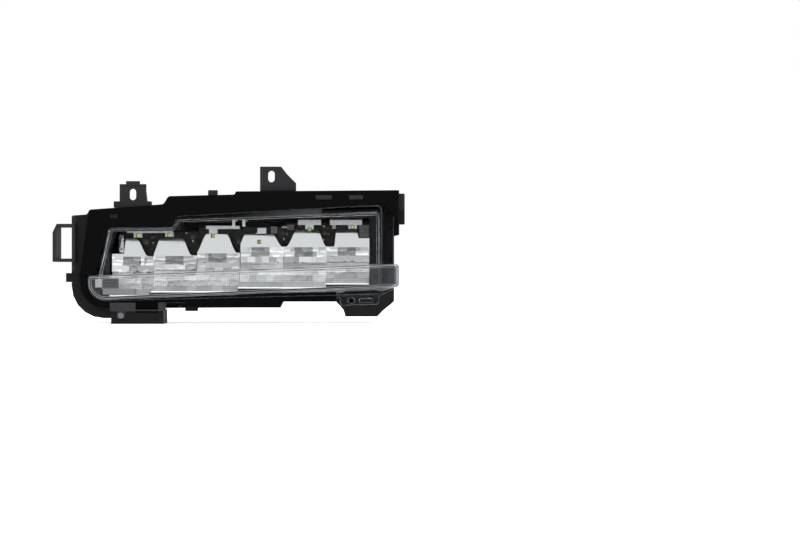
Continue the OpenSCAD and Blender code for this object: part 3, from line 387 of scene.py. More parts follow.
def cast_metal():
    """Die-cast aluminium with a blasted skin, with painted shade on the pad that looks out between the
    boards.
    """
    base = colours().aluminium
    material, tree, shader = new_material("cast aluminium", base, 0.5, metallic=1.0)
    cloud = noise_of(tree, 40, 5)
    tinted(tree, shader, cloud, shade(base, 0.82), shade(base, 1.15))
    # Painted shade on the pad at the front, bare metal behind it
    bare = spread(tree, axis_of(tree, "Y"), 0, 1, *[spot(0, y, 0).y for y in PAD_DEPTH])
    tinted(tree, shader, bare, PAD_PAINTED_SHADE, base_of(shader))
    tree.links.new(spread(tree, cloud, 0.62, 0.42), shader.inputs["Roughness"])
    relief(tree, shader, noise_of(tree, 1300, 3), 0.06 * MM, 0.8)
    return material


def laminate(name, base):
    """A lacquered board with raised tracks under its lacquer."""
    material, tree, shader = new_material(name, base, 0.4, specular=0.2)
    tracks = add_node(
        tree, "ShaderNodeTexBrick", scale=55.0, mortar_size=0.035, brick_width=0.62, row_height=0.21)
    tree.links.new(mapped(tree, rotation=(math.pi / 2, 0, 0)), tracks.inputs["Vector"])
    tinted(tree, shader, tracks.outputs["Fac"], base, shade(base, 1.9))
    relief(tree, shader, tracks.outputs["Fac"], 0.05 * MM, 0.8)
    return material


def glossy(name, base, roughness):
    """Smooth plastic with a little unevenness."""
    material, tree, shader = new_material(name, base, roughness)
    cloud = noise_of(tree, 90, 3)
    tinted(tree, shader, cloud, shade(base, 0.9), shade(base, 1.08))
    relief(tree, shader, noise_of(tree, 500, 2), 0.01 * MM, 0.5)
    return material


# Meshes

def pick(piece):
    """Selects one object alone and makes it active."""
    bpy.ops.object.select_all(action="DESELECT")
    piece.select_set(True)
    bpy.context.view_layer.objects.active = piece


def lay_open(piece):
    """Starts editing an object with all of it selected."""
    pick(piece)
    bpy.ops.object.mode_set(mode="EDIT")
    bpy.ops.mesh.select_all(action="SELECT")


def close_up(piece, smooth=math.radians(32)):
    """Ends editing, puts the object at the origin with its place in its mesh, and smooths it."""
    bpy.ops.object.mode_set(mode="OBJECT")
    pick(piece)
    bpy.ops.object.transform_apply(location=True, rotation=True, scale=True)
    bpy.ops.object.shade_smooth_by_angle(angle=smooth)


def finish_with(piece, kind, **settings):
    """Adds a modifier and applies it."""
    modifier = piece.modifiers.new(kind.title(), kind)
    for key, value in settings.items():
        setattr(modifier, key, value)
    pick(piece)
    bpy.ops.object.modifier_apply(modifier=modifier.name)


def dress(piece, material, slot, *nodes):
    """Gives a piece its finish and its body, and hides the CAD nodes that it stands for. The slot is not
    used.
    """
    piece.data.materials.clear()
    piece.data.materials.append(material)
    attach(piece, "root")
    if nodes:
        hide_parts(*nodes)


def softened(node, name, width, segments=2, marks_edges=False, splits_faces=False):
    """A merged copy of a CAD piece with rounded edges, which a mesh attribute marks where that is asked.

    Frame-shaped faces are split into convex ones where that is asked, so that nothing closes their holes.
    """
    piece = bpy.data.objects.new(name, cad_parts[node].data.copy())
    bpy.context.scene.collection.objects.link(piece)
    piece.data.materials.clear()
    lay_open(piece)
    bpy.ops.mesh.customdata_custom_splitnormals_clear()
    bpy.ops.mesh.remove_doubles(threshold=0.01 * MM)
    bpy.ops.mesh.dissolve_limited(angle_limit=math.radians(0.8))
    if splits_faces:
        bpy.ops.mesh.vert_connect_concave()
    bpy.ops.object.mode_set(mode="OBJECT")
    for kind in ("plain", "edge"):
        piece.data.materials.append(bpy.data.materials.new(kind))
    finish_with(piece, "BEVEL", width=width, segments=segments, limit_method="ANGLE", material=1,
                angle_limit=math.radians(38), use_clamp_overlap=False, miter_outer="MITER_ARC")
    if marks_edges:
        edge = piece.data.attributes.new("edge", "FLOAT", "FACE")
        for face in piece.data.polygons:
            edge.data[face.index].value = float(face.material_index)
    close_up(piece)
    finish_with(piece, "WEIGHTED_NORMAL", weight=100, keep_sharp=True)
    return piece


def refinish(node, material):
    """Keeps a CAD piece and changes its finish."""
    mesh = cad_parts[node].data
    if not mesh.materials:
        mesh.materials.append(material)
    for k in range(len(mesh.materials)):
        mesh.materials[k] = material


def joined(pieces, name):
    """Several objects as one."""
    pick(pieces[0])
    for piece in pieces:
        piece.select_set(True)
    if len(pieces) > 1:
        bpy.ops.object.join()
    pieces[0].name = name
    return pieces[0]


def add_block(low, high, edge):
    """A box between two corners in the row frame, with rounded edges."""
    bpy.ops.object.select_all(action="DESELECT")
    bpy.ops.mesh.primitive_cube_add(size=1, location=(low + high) / 2)
    piece = bpy.context.object
    piece.scale = high - low
    bpy.ops.object.transform_apply(location=True, rotation=True, scale=True)
    lay_open(piece)
    bpy.ops.mesh.bevel(offset=edge, segments=2, affect="EDGES", clamp_overlap=True)
    close_up(piece)
    return piece


def screw_head(place, radius, height):
    """A pan head with a round recess, whose face looks towards the front."""
    bpy.ops.object.select_all(action="DESELECT")
    bpy.ops.mesh.primitive_cylinder_add(
        vertices=40, radius=radius, depth=height, location=place, rotation=(math.pi / 2, 0, 0))
    piece = bpy.context.object
    finish_with(piece, "BEVEL", width=0.28 * height, segments=3, limit_method="ANGLE",
                angle_limit=math.radians(60))
    for face in piece.data.polygons:
        face.select = face.normal.z > 0.99 and face.center.z > 0.45 * height
    bpy.ops.object.mode_set(mode="EDIT")
    bpy.ops.mesh.select_mode(type="FACE")
    bpy.ops.mesh.inset(thickness=0.42 * radius, depth=0)
    bpy.ops.mesh.inset(thickness=0.04 * radius, depth=-0.5 * height)
    close_up(piece)
    return piece


class FramePiece:
    """What the operators share"""

    bl_options = {"REGISTER", "UNDO"}


class LAMP_OT_bezel(FramePiece, bpy.types.Operator):
    """Round the bezel's edges and finish it in satin black"""

    bl_idname = "lamp.bezel"
    bl_label = "Bezel"

    def execute(self, context):
        piece = softened("front_bezel", "bezel_surround", sizes().bezel_edge, 3)
        dress(piece, satin_black(), "bezel_plastic", "front_bezel")
        return {"FINISHED"}


class LAMP_OT_housing(FramePiece, bpy.types.Operator):
    """Round the housing's edges and give it its moulded grain"""

    bl_idname = "lamp.housing"
    bl_label = "Housing"

    # The side loop lies past loop_x and over loop_z, and the ears over ears_z, in millimetres beside the
    # seam. Elsewhere the housing takes painted shade, which fades in over a short way.
    loop_x = -172
    loop_z = -24
    ears_z = 40
    fade = 3

    def execute(self, context):
        piece = softened("lamp_housing", "housing_moulding", sizes().moulded_edge, splits_faces=True)
        dress(piece, self.shaded(), "housing_plastic", "lamp_housing")
        return {"FINISHED"}

    def shaded(self):
        """The housing's grain, with painted shade on all but the ears and the side loop, which stand clear
        of the bezel.
        """
        material = grained("housing grain", colours().housing, 0.58, depth=0.03)
        tree = material.node_tree
        shader = tree.nodes["Principled BSDF"]
        loop, ears = spot(self.loop_x, 0, self.loop_z), spot(0, 0, self.ears_z)
        soft = self.fade * MM
        side = spread(tree, axis_of(tree, "X"), 0, 1, loop.x + soft, loop.x)
        height = axis_of(tree, "Z")
        both = reckoned(tree, "MULTIPLY", side, spread(tree, height, 0, 1, loop.z - soft, loop.z))
        unshaded_share = reckoned(tree, "MAXIMUM", both, spread(tree, height, 0, 1, ears.z - soft, ears.z))
        # Painted shade on all but the ears and the side loop
        tinted(tree, shader, unshaded_share, colours().housing_painted_shade, base_of(shader))
        return material


class LAMP_OT_lens(FramePiece, bpy.types.Operator):
    """Finish the lens and add the row of prisms on its outer flank"""

    bl_idname = "lamp.lens"
    bl_label = "Lens"

    # The flank's upper and lower ends beside the seam and the size of its prisms, in millimetres
    flank_top = (-133.4, 1.6, 17.2)
    flank_foot = (-143.0, 1.6, -33.5)
    prism_base = 1.25
    prism_tip = 0.25
    prism_length = 1.6
    # How much painted highlight the blade's edges and the other edges carry, and how much painted reflection
    # the blade's front carries. The blade lies before blade_y.
    blade_y = -12.6
    blade_highlight_share = 0.34
    edge_highlight_share = 0.13
    blade_painted_reflection = 0.022
    # How much light passes the side walls and the lower outer tab unbent, and that tab's upper inner corner
    wall_share = 0.88
    tab_corner = (-50, 0, -57.5)

    def execute(self, context):
        piece = softened("outer_lens", "lens_moulding", sizes().lens_edge, marks_edges=True)
        self.mark_walls(piece)
        dress(piece, clear_plastic(), "clear_lens", "outer_lens")
        glint, tree, shader = new_material("prism glint", (0.72, 0.73, 0.75), 0.12, metallic=1.0)
        relief(tree, shader, noise_of(tree, 700, 2), 0.03 * MM, 0.6)
        dress(self.prisms(), glint, "clear_lens")
        return {"FINISHED"}

    def mark_walls(self, piece):
        """Marks the side walls, the roof and floor for painted shade, the roof for its painted sheen and the
        edges for their painted highlight.
        """
        names = ("wall", "level_painted_shade", "roof")
        for name in names:
            piece.data.attributes.new(name, "FLOAT", "FACE")
        wall, level_painted_shade, roof, edge = [piece.data.attributes[name].data for name in (*names, "edge")]
        front, middle, corner = spot(0, self.blade_y, 0).y, spot(0, 0, 0).z, spot(*self.tab_corner)
        for k, face in enumerate(piece.data.polygons):
            blade = face.center.y < front
            steep = abs(face.normal.y) < 0.8 and edge[k].value == 0
            side = steep and abs(face.normal.x) > abs(face.normal.z)
            level = steep and not side
            tab = face.center.x < corner.x and face.center.z < corner.z
            wall[k].value = self.wall_share if side or tab else 0.0
            level_painted_shade[k].value = 1.0 if level else 0.0
            roof[k].value = 1.0 if level and face.center.z > middle else 0.0
            # The edges' painted highlight, stronger on the blade, and a painted reflection over the blade's
            # front
            edge[k].value *= self.blade_highlight_share if blade else self.edge_highlight_share
            if blade and not steep:
                edge[k].value = max(edge[k].value, self.blade_painted_reflection)

    def prisms(self):
        """Small wedges in a row, each tipped a little further than the one above."""
        top = spot(*self.flank_top)
        foot = spot(*self.flank_foot)
        run = foot - top
        count = int(run.length / sizes().prism_pitch)
        pieces = []
        for k in range(count):
            place = top + run * (k + 0.5) / count
            bpy.ops.object.select_all(action="DESELECT")
            bpy.ops.mesh.primitive_cone_add(
                vertices=4, radius1=self.prism_base * MM, radius2=self.prism_tip * MM,
                depth=self.prism_length * MM, location=place,
                rotation=(math.radians(72 + 9 * (k % 3)), 0, math.radians(-18 + 12 * (k % 4))))
            pieces.append(bpy.context.object)
        piece = joined(pieces, "lens_prisms")
        lay_open(piece)
        bpy.ops.mesh.bevel(offset=0.12 * MM, segments=1, affect="EDGES")
        close_up(piece)
        return piece


def height_share(v):
    """How far up the scoop a place lies, seen from the front."""
    return 1 - math.cos(math.pi / 2 * v)


class Scoop:
    """The shape of the reflector cells, numbered 0 to 5 from the outer end, in millimetres"""

    cells = 6
    end_trim = 1.0
    border = 0.35
    top_arch = 18.7
    pair_step = 4.85
    inner_crease = -0.6
    crease_drop = (10.2, 9.5, 6.7, 0, 0, 0)
    foot = -52.0
    foot_step = 4.3
    foot_rise = (0, 1, 1, 2, 2, 3)
    lip = 14.5
    sweep = 4.0
    lip_depth = 3.0
    back = 45.4
    sag = 4.5
    thickness = 1.6
    # The share of a cell's depth that its scoop takes, before its arch
    scoop_share = 0.88
    # Each arch's outline in half widths from its cell's middle: its foot and its flat top on the outer
    # side, its top and its foot on the inner side, and the shelves left beside it
    arches = (
        (-0.47, -0.39, 0.08, 0.72, 0.15, 0.03),
        (-1.1, -0.72, 0.24, 0.76, 0.03, 0.03),
        (-1.06, -0.58, 0.3, 0.86, 0.03, 0.03),
        (-1.1, -0.78, 0.44, 0.98, 0.03, 0.03),
        (-0.9, -0.36, 0.54, 1.02, 0.03, 0.03),
        (-0.66, -0.56, 0.38, 0.5, 0.03, 0.5),
    )
    # Each LED's place beside its cell's middle and over the line of its board
    led_shift = (4.2, -8.2, -7.1, -3.2, 4.2, 4.6)
    led_rise = (0.7, 1.5, -4.4, -11, -2.4, 0.5)
    led_line = 2.3
    # How many facets stand in each row, in turn, how unevenly, and where each row ends below the crease
    row_counts = (5, 3, 4, 6, 3, 5, 4)
    uneven = 0.22
    row_ends = (0.13, 0.29, 0.46, 0.62, 0.76, 0.88, 1.0)
    pillow = 0.45
    tilt = 0.7
    # How much the facets at the foot lean beside those at the crease, and how steeply a facet rises from
    # its own edge, from the lip and from the crease
    foot_lean = 0.35
    facet_rise = 9
    lip_rise = 8
    crease_rise = 12
    # Painted reflections: how light the lip and the arch are painted, and the least and the spread of the
    # facets' painted lightness: those below the middle of the crease, the others of the upper rows, and the
    # lower rows
    lip_painted_highlight = 1.05
    arch_painted_reflection = 0.86
    dark_painted_reflections = (0.2, 0.2)
    upper_painted_reflections = (0.4, 0.6)
    lower_painted_reflections = (0.68, 0.42)
    painted_dark_middle = -0.08
    painted_dark_half = 0.42
    # How many rows below the crease may carry dark painted reflections, and how many count as upper rows
    painted_dark_rows = 2
    upper_rows = 4

    @classmethod
    def left(cls, cell):
        """A cell's outer side."""
        return (cell - cls.cells / 2) * sizes().cell_pitch / MM + (cls.end_trim if cell == 0 else 0)

    @classmethod
    def right(cls, cell):
        """A cell's inner side."""
        return (cell + 1 - cls.cells / 2) * sizes().cell_pitch / MM

    @classmethod
    def led(cls, cell):
        """Where a cell's LED stands, across and up."""
        middle = (cell + 0.5 - cls.cells / 2) * sizes().cell_pitch / MM
        line = cls.top_arch - cls.pair_step * (2 - cell // 2) + cls.led_line
        return middle + cls.led_shift[cell], line + cls.led_rise[cell]

    @classmethod
    def facet(cls, cell, u, v):
        """The row and column of the facet at a place, and the shares of it that lie before that place."""
        height = height_share(v)
        row = next((k for k, end in enumerate(cls.row_ends) if height <= end), len(cls.row_ends) - 1)
        low = cls.row_ends[row - 1] if row else 0.0
        count = cls.row_counts[(row + 2 * cell) % len(cls.row_counts)]
        ends = [(k + cls.uneven * math.sin(3.1 * k + row + 5 * cell)) / count for k in range(1, count)]
        ends.append(1.0)
        across = (u + 1) / 2
        column = next((k for k, end in enumerate(ends) if across <= end), count - 1)
        start = ends[column - 1] if column else 0.0
        before = (across - start) / (ends[column] - start)
        return row, column, before, (height - low) / (cls.row_ends[row] - low)

    @classmethod
    def panel(cls, cell, u, v):
        """Height of the facets over the scoop: each is a pillow that leans its own way."""
        row, column, s, t = cls.facet(cell, u, v)
        seed = cell * 31 + row * 7 + column * 13
        calm = cls.foot_lean + (1 - cls.foot_lean) * height_share(v)
        lean_u = math.sin(seed * 1.7) * cls.tilt * calm
        lean_v = math.cos(seed * 2.3) * cls.tilt * calm
        edge = min(1, cls.facet_rise * min(s, 1 - s)) * min(1, cls.facet_rise * min(t, 1 - t))
        crown = cls.pillow * math.sin(math.pi * s) * math.sin(math.pi * t)
        lean = edge * (lean_u * (s - 0.5) + lean_v * (t - 0.5))
        return (crown + lean) * min(1, cls.lip_rise * v) * min(1, cls.crease_rise * (1 - v))

    @classmethod
    def tone_with_painted_light(cls, cell, u, v):
        """How light a facet is painted, as painted reflection: dark below the middle of the crease, light
        near the foot.
        """
        if v <= 0:
            return cls.lip_painted_highlight
        if v >= 1:
            return cls.arch_painted_reflection
        row, column = cls.facet(cell, u, v)[:2]
        chance = math.sin(cell * 12.9 + row * 78.2 + column * 37.7) * 43758.5
        chance -= math.floor(chance)
        rows = len(cls.row_ends)
        least, more = cls.lower_painted_reflections
        if row >= rows - cls.upper_rows:
            least, more = cls.upper_painted_reflections
        if row >= rows - cls.painted_dark_rows and abs(u - cls.painted_dark_middle) < cls.painted_dark_half:
            least, more = cls.dark_painted_reflections
        return least + more * chance

    @classmethod
    def arch_share(cls, cell, u):
        """How much of its full height an arch has at a place across its cell."""
        foot_out, top_out, top_in, foot_in, shelf_out, shelf_in = cls.arches[cell]

        def eased(a):
            a = min(max(a, 0), 1)
            return a * a * (3 - 2 * a)
        outer = shelf_out + (1 - shelf_out) * eased((u - foot_out) / (top_out - foot_out))
        inner = shelf_in + (1 - shelf_in) * eased((foot_in - u) / (foot_in - top_in))
        return min(outer, inner)

    @classmethod
    def point(cls, cell, u, v):
        """Depth and height at u across the cell and v up it: lip to 0, scoop to 1, arch to 2."""
        pair = cell // 2
        lip_y = cls.lip + cls.sweep * (2 - pair)
        reach = cls.back - lip_y
        crease = cls.inner_crease - cls.crease_drop[cell]
        arch = cls.top_arch - cls.pair_step * (2 - pair)
        foot = cls.foot + cls.foot_step * cls.foot_rise[cell]
        pull = cls.sag * u * u * max(min(v, 1), 0)
        if v <= 0:
            return lip_y + cls.lip_depth * v, foot
        if v <= 1:
            turn = math.pi / 2 * v
            raised = cls.panel(cell, u, v)
            return (lip_y + cls.scoop_share * reach * math.sin(turn) - pull - raised * math.sin(turn),
                    foot + (crease - foot) * (1 - math.cos(turn)) + raised * math.cos(turn))
        share = cls.arch_share(cell, u)
        return (lip_y + reach * (cls.scoop_share + (1 - cls.scoop_share) * (v - 1) * share) - pull,
                crease + (arch - crease) * (v - 1) * share)


class LAMP_OT_reflectors(FramePiece, bpy.types.Operator):
    """Shape the two chromed reflectors cell by cell"""

    bl_idname = "lamp.reflectors"
    bl_label = "Reflectors"

    # How many faces a cell has across, up its scoop and up its arch, and the levels below its foot
    across = 56
    up_scoop = 84
    up_arch = 10
    lip_levels = (-1, -0.02)
    # The part of the scoop that carries the dots
    dots_start = 0.05
    dots_end = 0.72
    # The cells whose arch has a window for its LED, half a window's width, and how far the cut reaches
    # before and behind the arch, in millimetres
    windowed = (2, 3, 4)
    window_half = 2.15
    cut_before = 5
    cut_behind = 3

    def execute(self, context):
        chrome = plated()
        for name, node, cells in (
                ("reflector_outer", "outer_reflector", (0, 1, 2)),
                ("reflector_inner", "inner_reflector", (3, 4, 5))):
            piece = self.sheet(name, cells)
            self.cut_windows(piece, cells)
            close_up(piece, math.radians(40))
            dress(piece, chrome, "chromed_plastic", node)
        return {"FINISHED"}

    def sheet(self, name, cells):
        """A grid whose points are moved onto the cells, then thickened."""
        columns = [(cell, 2 * k / self.across - 1) for cell in cells for k in range(self.across + 1)]
        levels = list(self.lip_levels)
        levels += [k / self.up_scoop for k in range(self.up_scoop + 1)]
        levels += [1 + k / self.up_arch for k in range(1, self.up_arch + 1)]
        wide, high = len(columns) - 1, len(levels) - 1
        bpy.ops.object.select_all(action="DESELECT")
        bpy.ops.mesh.primitive_grid_add(x_subdivisions=wide, y_subdivisions=high, size=2)
        piece = bpy.context.object
        piece.name = name
        dotted = piece.data.attributes.new("dotted", "FLOAT", "POINT")
        # Each face carries its facet's painted reflection lightness
        tone_with_painted_light = piece.data.attributes.new("tone_with_painted_light", "FLOAT", "FACE")
        for k, face in enumerate(piece.data.polygons):
            cell, u = columns[int((face.center.x + 1) / 2 * wide)]
            level = int((face.center.y + 1) / 2 * high)
            middle = (levels[level] + levels[level + 1]) / 2
            tone_with_painted_light.data[k].value = Scoop.tone_with_painted_light(cell, u + 1 / self.across, middle)
        for k, vertex in enumerate(piece.data.vertices):
            cell, u = columns[round((vertex.co.x + 1) / 2 * wide)]
            v = levels[round((vertex.co.y + 1) / 2 * high)]
            y, z = Scoop.point(cell, u, v)
            left = Scoop.left(cell) + Scoop.border
            right = Scoop.right(cell) - Scoop.border
            vertex.co = spot(left + (right - left) * (u + 1) / 2, y, z)
            dotted.data[k].value = 1.0 if self.dots_start < v < self.dots_end else 0.0
        finish_with(piece, "SOLIDIFY", thickness=Scoop.thickness * MM, offset=-1)
        return piece

    def cut_windows(self, piece, cells):
        """Openings in the middle arches, in which the LEDs stand."""
        half = self.window_half
        cutters = []
        for cell in sorted(set(cells) & set(self.windowed)):
            x, z = Scoop.led(cell)
            low = spot(x - half, Scoop.back - self.cut_before, z - half)
            high = spot(x + half, Scoop.back + self.cut_behind, z + half)
            cutters.append(add_block(low, high, 0.1 * MM))
        cutter = joined(cutters, "led_cutter")
        finish_with(piece, "BOOLEAN", object=cutter, operation="DIFFERENCE", solver="EXACT")
        bpy.data.objects.remove(cutter)


class LAMP_OT_mask(FramePiece, bpy.types.Operator):
    """Finish the mask round the cells, the light trim and the grey plate"""

    bl_idname = "lamp.mask"
    bl_label = "Mask and trim"

    # The trim's light block ends at block_x, its slots lie behind slot_y and its slotted field over field_z,
    # in millimetres beside the seam
    block_x = -140.6
    slot_y = 4.9
    field_z = -44.5
    # The slots' backs are near black as painted shade; the block is lighter and the slotted field darker
    tones_with_painted_shade = {"block": 2.0, "slot": 0.04, "field": 0.22, "plate": 1.0}

    def execute(self, context):
        edge = sizes().small_edge
        mask = softened("inner_bezel", "cell_mask", edge)
        grain = grained("mask grain", colours().mask, 0.55, 2200, 0.05, 0.002)
        dress(mask, grain, "mask_plastic", "inner_bezel")
        trim = softened("corner_trim", "slotted_trim", edge)
        dress(trim, self.with_painted_light(trim), "light_plastic", "corner_trim")
        plate = softened("retainer_plate", "lower_plate", edge)
        dress(plate, grained("plate grain", colours().retainer, 0.5), "retainer_plastic", "retainer_plate")
        return {"FINISHED"}

    def with_painted_light(self, trim):
        """The trim's plastic with its block lighter, its slotted field darker and painted shade on the backs
        of its slots.
        """
        tone_with_painted_light = trim.data.attributes.new("tone_with_painted_light", "FLOAT", "FACE")
        inner, back, foot = spot(self.block_x, self.slot_y, self.field_z)
        for k, face in enumerate(trim.data.polygons):
            kind = "plate"
            if face.center.x < inner:
                kind = "block"
            elif face.center.z > foot:
                kind = "slot" if face.center.y > back else "field"
            tone_with_painted_light.data[k].value = self.tones_with_painted_shade[kind]
        material = glossy("light trim", colours().trim, 0.32)
        tree = material.node_tree
        shader = tree.nodes["Principled BSDF"]
        with_painted_light = mixed(tree, 1.0, base_of(shader), attribute(tree, "tone_with_painted_light"), "MULTIPLY")
        tree.links.new(with_painted_light, shader.inputs["Base Color"])
        return material


class LAMP_OT_boards(FramePiece, bpy.types.Operator):
    """Finish the boards with their LEDs, shades, clips and small parts"""

    bl_idname = "lamp.boards"
    bl_label = "Boards and LEDs"

    # Small parts on the boards' faces in millimetres: left, foot, width, height, thickness
    pale_chips = (
        (98.6, 19.4, 4, 4, 1.2), (43.6, 20.2, 7, 2, 1.4), (88.2, 21.6, 2.4, 1.4, 0.9),
        (-61, 14.2, 2.2, 1.2, 0.9), (-53.4, 5.2, 1.4, 2.2, 0.8), (88.4, 6.4, 1.4, 2.2, 0.8),
        (45.4, 7.2, 1.4, 2.2, 0.8), (-97.2, 3.6, 2.2, 1.2, 0.8),
    )
    dark_chips = (
        (43.8, 12.4, 3, 3.6, 1.1), (48, 12.4, 2.6, 3.6, 1.1), (87.6, 12.8, 4.4, 4.4, 1.3),
        (-107, 2.6, 6, 6, 1.5), (-55.4, 9, 5.2, 4.2, 1.3), (-4.6, 2.4, 3.4, 5, 1.2),
        (92.6, 13, 3, 2, 1.0), (-99, 9, 4, 2.4, 1.0),
    )
    strip_corners = ((-131.6, 41.5, -6.6), (-126.4, 45.0, 13.2))
    # Half the width of an LED's package and of its window, and how far each reaches before the board
    package_half = 1.75 * MM
    window_half = 1.55 * MM
    package_front = 0.72 * MM
    window_front = 1.15 * MM
    window_back = 0.6 * MM

    def execute(self, context):
        edge = sizes().small_edge
        olive = laminate("olive laminate", colours().board)
        for node in ("outer_led_board", "middle_led_board", "inner_led_board"):
            refinish(node, olive)
        refinish("led_hoods", brushed("shade metal", (0.46, 0.465, 0.475), 0.28))
        clips = softened("board_clips", "white_clips", edge)
        dress(clips, glossy("white plastic", (0.78, 0.78, 0.75), 0.4), "white_plastic", "board_clips")
        plugs = softened("board_connectors", "board_plugs", edge)
        dress(plugs, glossy("grey plastic", (0.13, 0.133, 0.14), 0.4), "grey_plastic", "board_connectors")
        steel = brushed("screw steel", colours().steel, 0.34)
        for node in ("board_screws", "driver_screws"):
            refinish(node, steel)
        refinish("board_jumpers", glossy("copper film", (0.45, 0.2, 0.05), 0.3))
        refinish("driver_board", laminate("green laminate", (0.012, 0.055, 0.028)))
        refinish("driver_parts", glossy("chip plastic", (0.012, 0.012, 0.013), 0.45))
        self.packages()
        self.chips()
        self.strip()
        return {"FINISHED"}

    def chips(self):
        """The pale and dark small parts that show between the arches."""
        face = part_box("middle_led_board")[0].y
        for name, places, base in (
                ("pale_chips", self.pale_chips, (0.5, 0.5, 0.47)),
                ("dark_chips", self.dark_chips, (0.035, 0.03, 0.02))):
            pieces = []
            for left, foot, width, height, thickness in places:
                low, high = spot(left, 0, foot), spot(left + width, 0, foot + height)
                low.y, high.y = face - thickness * MM, face
                pieces.append(add_block(low, high, 0.15 * MM))
            dress(joined(pieces, name), glossy(name.replace("_", " "), base, 0.4), "chip_plastic")

    def strip(self):
        """The clear crinkled strip beside the first arch."""
        low, high = [spot(*corner) for corner in self.strip_corners]
        strip = add_block(low, high, 0.5 * MM)
        strip.name = "clear_strip"
        material, tree, shader = new_material("crinkled strip", (0.5, 0.51, 0.5), 0.16, metallic=0.8)
        relief(tree, shader, noise_of(tree, 420, 2), 0.9 * MM, 1.0)
        dress(strip, material, "chromed_plastic")

    def packages(self):
        """Six white LED packages, each with a yellow window that glows a little as painted light."""
        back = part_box("leds")[1].y
        bodies, windows = [], []
        for cell in range(Scoop.cells):
            x, z = Scoop.led(cell)
            middle = spot(x, 0, z)
            half, pad = self.package_half, self.window_half
            bodies.append(add_block(
                Vector((middle.x - half, back - self.package_front, middle.z - half)),
                Vector((middle.x + half, back, middle.z + half)), 0.15 * MM))
            windows.append(add_block(
                Vector((middle.x - pad, back - self.window_front, middle.z - pad)),
                Vector((middle.x + pad, back - self.window_back, middle.z + pad)), 0.2 * MM))
        body = joined(bodies, "led_packages")
        dress(body, glossy("led ceramic", (0.7, 0.7, 0.62), 0.4), "led_package", "leds")
        window = joined(windows, "led_windows")
        phosphor = glossy("led phosphor", colours().phosphor, 0.35)
        # Painted light: a faint glow that lifts the unlit phosphor out of the shade in its window
        shader = phosphor.node_tree.nodes["Principled BSDF"]
        shader.inputs["Emission Color"].default_value = (*colours().phosphor, 1)
        shader.inputs["Emission Strength"].default_value = 0.45
        dress(window, phosphor, "led_package")


class LAMP_OT_rear(FramePiece, bpy.types.Operator):
    """Finish the heat sink, its seal and screws, the vent and the connector's pins"""

    bl_idname = "lamp.rear"
    bl_label = "Rear"

    def execute(self, context):
        sink = softened("heat_sink", "finned_sink", sizes().moulded_edge)
        dress(sink, cast_metal(), "cast_aluminium", "heat_sink")
        cap = softened("vent_cap", "vent_button", sizes().moulded_edge)
        rubber = grained("rubber", (0.012, 0.012, 0.012), 0.7, 900, 0.2)
        dress(cap, rubber, "vent_rubber", "vent_cap")
        steel = brushed("zinc steel", colours().steel, 0.3)
        for node in ("lens_seal", "heat_sink_gasket"):
            refinish(node, rubber)
        refinish("heat_sink_screws", steel)
        low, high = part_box("retainer_screw")
        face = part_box("retainer_plate")[0].y
        middle = (low + high) / 2
        middle.y = (low.y + face) / 2
        head = screw_head(middle, (high.x - low.x) / 2, face - low.y)
        head.name = "retainer_stud"
        dress(head, brushed("dull zinc", (0.2, 0.2, 0.205), 0.42), "screw_steel", "retainer_screw")
        refinish("connector_pins", brushed("tinned pins", (0.6, 0.56, 0.42), 0.25))
        return {"FINISHED"}


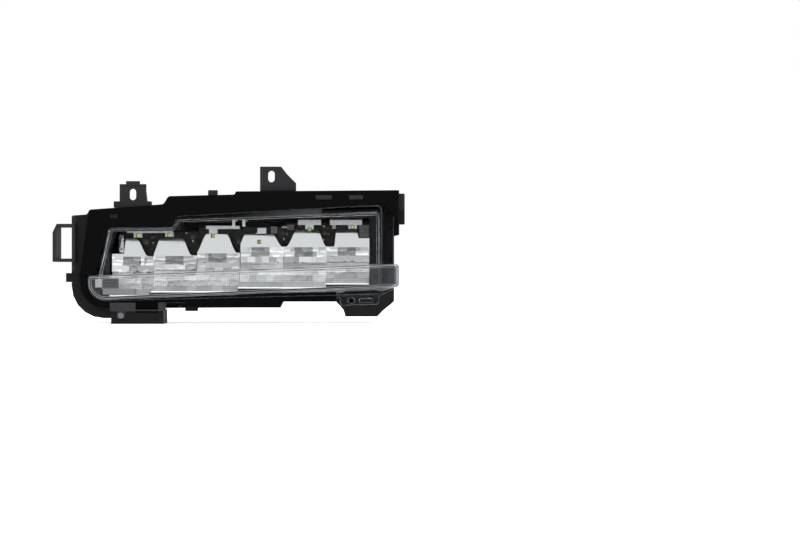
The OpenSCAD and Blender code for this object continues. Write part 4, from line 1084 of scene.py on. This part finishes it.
class LAMP_OT_stage(FramePiece, bpy.types.Operator):
    """Lay the floor and set the lights, the background and the camera"""

    bl_idname = "lamp.stage"
    bl_label = "Stage"

    # Each soft light's name, place and size in metres, and its power in watts
    lights = (
        ("key_light", (-0.9, -1.3, 1.3), 1.4, 26),
        ("fill_light", (1.3, -1.1, 0.7), 1.2, 11),
        ("rear_light", (0.2, 1.5, 1.2), 1.6, 22),
    )
    floor_glow = 0.55
    world_strength = 0.62
    # What the camera looks at, in millimetres beside the seam
    view_x = 172.2
    view_z = -21.5

    def execute(self, context):
        self.floor()
        self.background()
        for light in self.lights:
            self.soft_light(*light)
        self.camera()
        context.scene.view_settings.view_transform = "Standard"
        return {"FINISHED"}

    def shown_rays(self, tree):
        """The rays that see the white stage: the camera's, and those that metal and glass send on."""
        path = tree.nodes.new("ShaderNodeLightPath").outputs
        seen = path["Is Camera Ray"]
        for key in ("Is Glossy Ray", "Is Transmission Ray"):
            seen = reckoned(tree, "MAXIMUM", seen, path[key])
        return seen

    def floor(self):
        """A wide pale floor that looks white and still takes the lamp's shadow."""
        low = Vector(CAD_BOX[0])
        bpy.ops.object.select_all(action="DESELECT")
        bpy.ops.mesh.primitive_plane_add(size=30, location=(0, 0, low.z))
        floor = bpy.context.object
        floor.name = "pale_floor"
        material, tree, shader = new_material("pale floor", (0.8, 0.8, 0.8), 0.9, specular=0.0)
        glow = tree.nodes.new("ShaderNodeEmission")
        strength = reckoned(tree, "MULTIPLY", self.shown_rays(tree), self.floor_glow)
        tree.links.new(strength, glow.inputs["Strength"])
        both = tree.nodes.new("ShaderNodeAddShader")
        tree.links.new(shader.outputs["BSDF"], both.inputs[0])
        tree.links.new(glow.outputs["Emission"], both.inputs[1])
        tree.links.new(both.outputs["Shader"], tree.nodes["Material Output"].inputs["Surface"])
        floor.data.materials.append(material)

    def background(self):
        """White behind the lamp, and a plain grey light on it."""
        world = bpy.data.worlds.new("studio")
        bpy.context.scene.world = world
        world.use_nodes = True
        tree = world.node_tree
        light = tree.nodes["Background"]
        white = tree.nodes.new("ShaderNodeBackground")
        for node, strength in ((light, self.world_strength), (white, 1.0)):
            node.inputs["Color"].default_value = (1, 1, 1, 1)
            node.inputs["Strength"].default_value = strength
        surface = mixed_finish(
            tree, self.shown_rays(tree), light.outputs["Background"], white.outputs["Background"])
        tree.links.new(surface, tree.nodes["World Output"].inputs["Surface"])

    def soft_light(self, name, place, size, power):
        """A large soft light that faces the object."""
        data = bpy.data.lights.new(name, "AREA")
        data.shape = "SQUARE"
        data.size = size
        data.energy = power
        light = bpy.data.objects.new(name, data)
        bpy.context.scene.collection.objects.link(light)
        light.location = place
        light.visible_glossy = False
        light.visible_transmission = False
        aim = (Vector(CAD_BOX[0]) + Vector(CAD_BOX[1])) / 2 - Vector(place)
        light.rotation_euler = aim.to_track_quat("-Z", "Y").to_euler()

    def camera(self):
        """A level camera at the photograph's distance, with the lamp in the left half of the view."""
        data = bpy.data.cameras.new("front_camera")
        data.lens = sizes().focal_length
        camera = bpy.data.objects.new("front_camera", data)
        bpy.context.scene.collection.objects.link(camera)
        camera.location = spot(self.view_x, -sizes().camera_distance / MM, self.view_z)
        camera.rotation_euler = (math.pi / 2, 0, 0)
        bpy.context.scene.camera = camera


class LAMP_PT_panel(bpy.types.Panel):
    """The lamp's sizes, colours and pieces"""

    bl_idname = "LAMP_PT_panel"
    bl_label = "Bumper lamp"
    bl_space_type = "VIEW_3D"
    bl_region_type = "UI"
    bl_category = "Lamp"

    def draw(self, context):
        for group in (context.scene.lamp_sizes, context.scene.lamp_colours):
            box = self.layout.box()
            for key in group.__annotations__:
                box.prop(group, key)
        for operator in PIECES:
            self.layout.operator(operator.bl_idname)


PIECES = (
    LAMP_OT_bezel, LAMP_OT_housing, LAMP_OT_lens, LAMP_OT_reflectors,
    LAMP_OT_mask, LAMP_OT_boards, LAMP_OT_rear, LAMP_OT_stage,
)
CLASSES = (LampSizes, LampColours, *PIECES, LAMP_PT_panel)


def register():
    for cls in CLASSES:
        bpy.utils.register_class(cls)
    bpy.types.Scene.lamp_sizes = bpy.props.PointerProperty(type=LampSizes)
    bpy.types.Scene.lamp_colours = bpy.props.PointerProperty(type=LampColours)


def unregister():
    del bpy.types.Scene.lamp_colours
    del bpy.types.Scene.lamp_sizes
    for cls in reversed(CLASSES):
        bpy.utils.unregister_class(cls)


def main():
    register()
    bpy.ops.lamp.bezel()
    bpy.ops.lamp.housing()
    bpy.ops.lamp.lens()
    bpy.ops.lamp.reflectors()
    bpy.ops.lamp.mask()
    bpy.ops.lamp.boards()
    bpy.ops.lamp.rear()
    bpy.ops.lamp.stage()


if __name__ == "__main__":
    main()
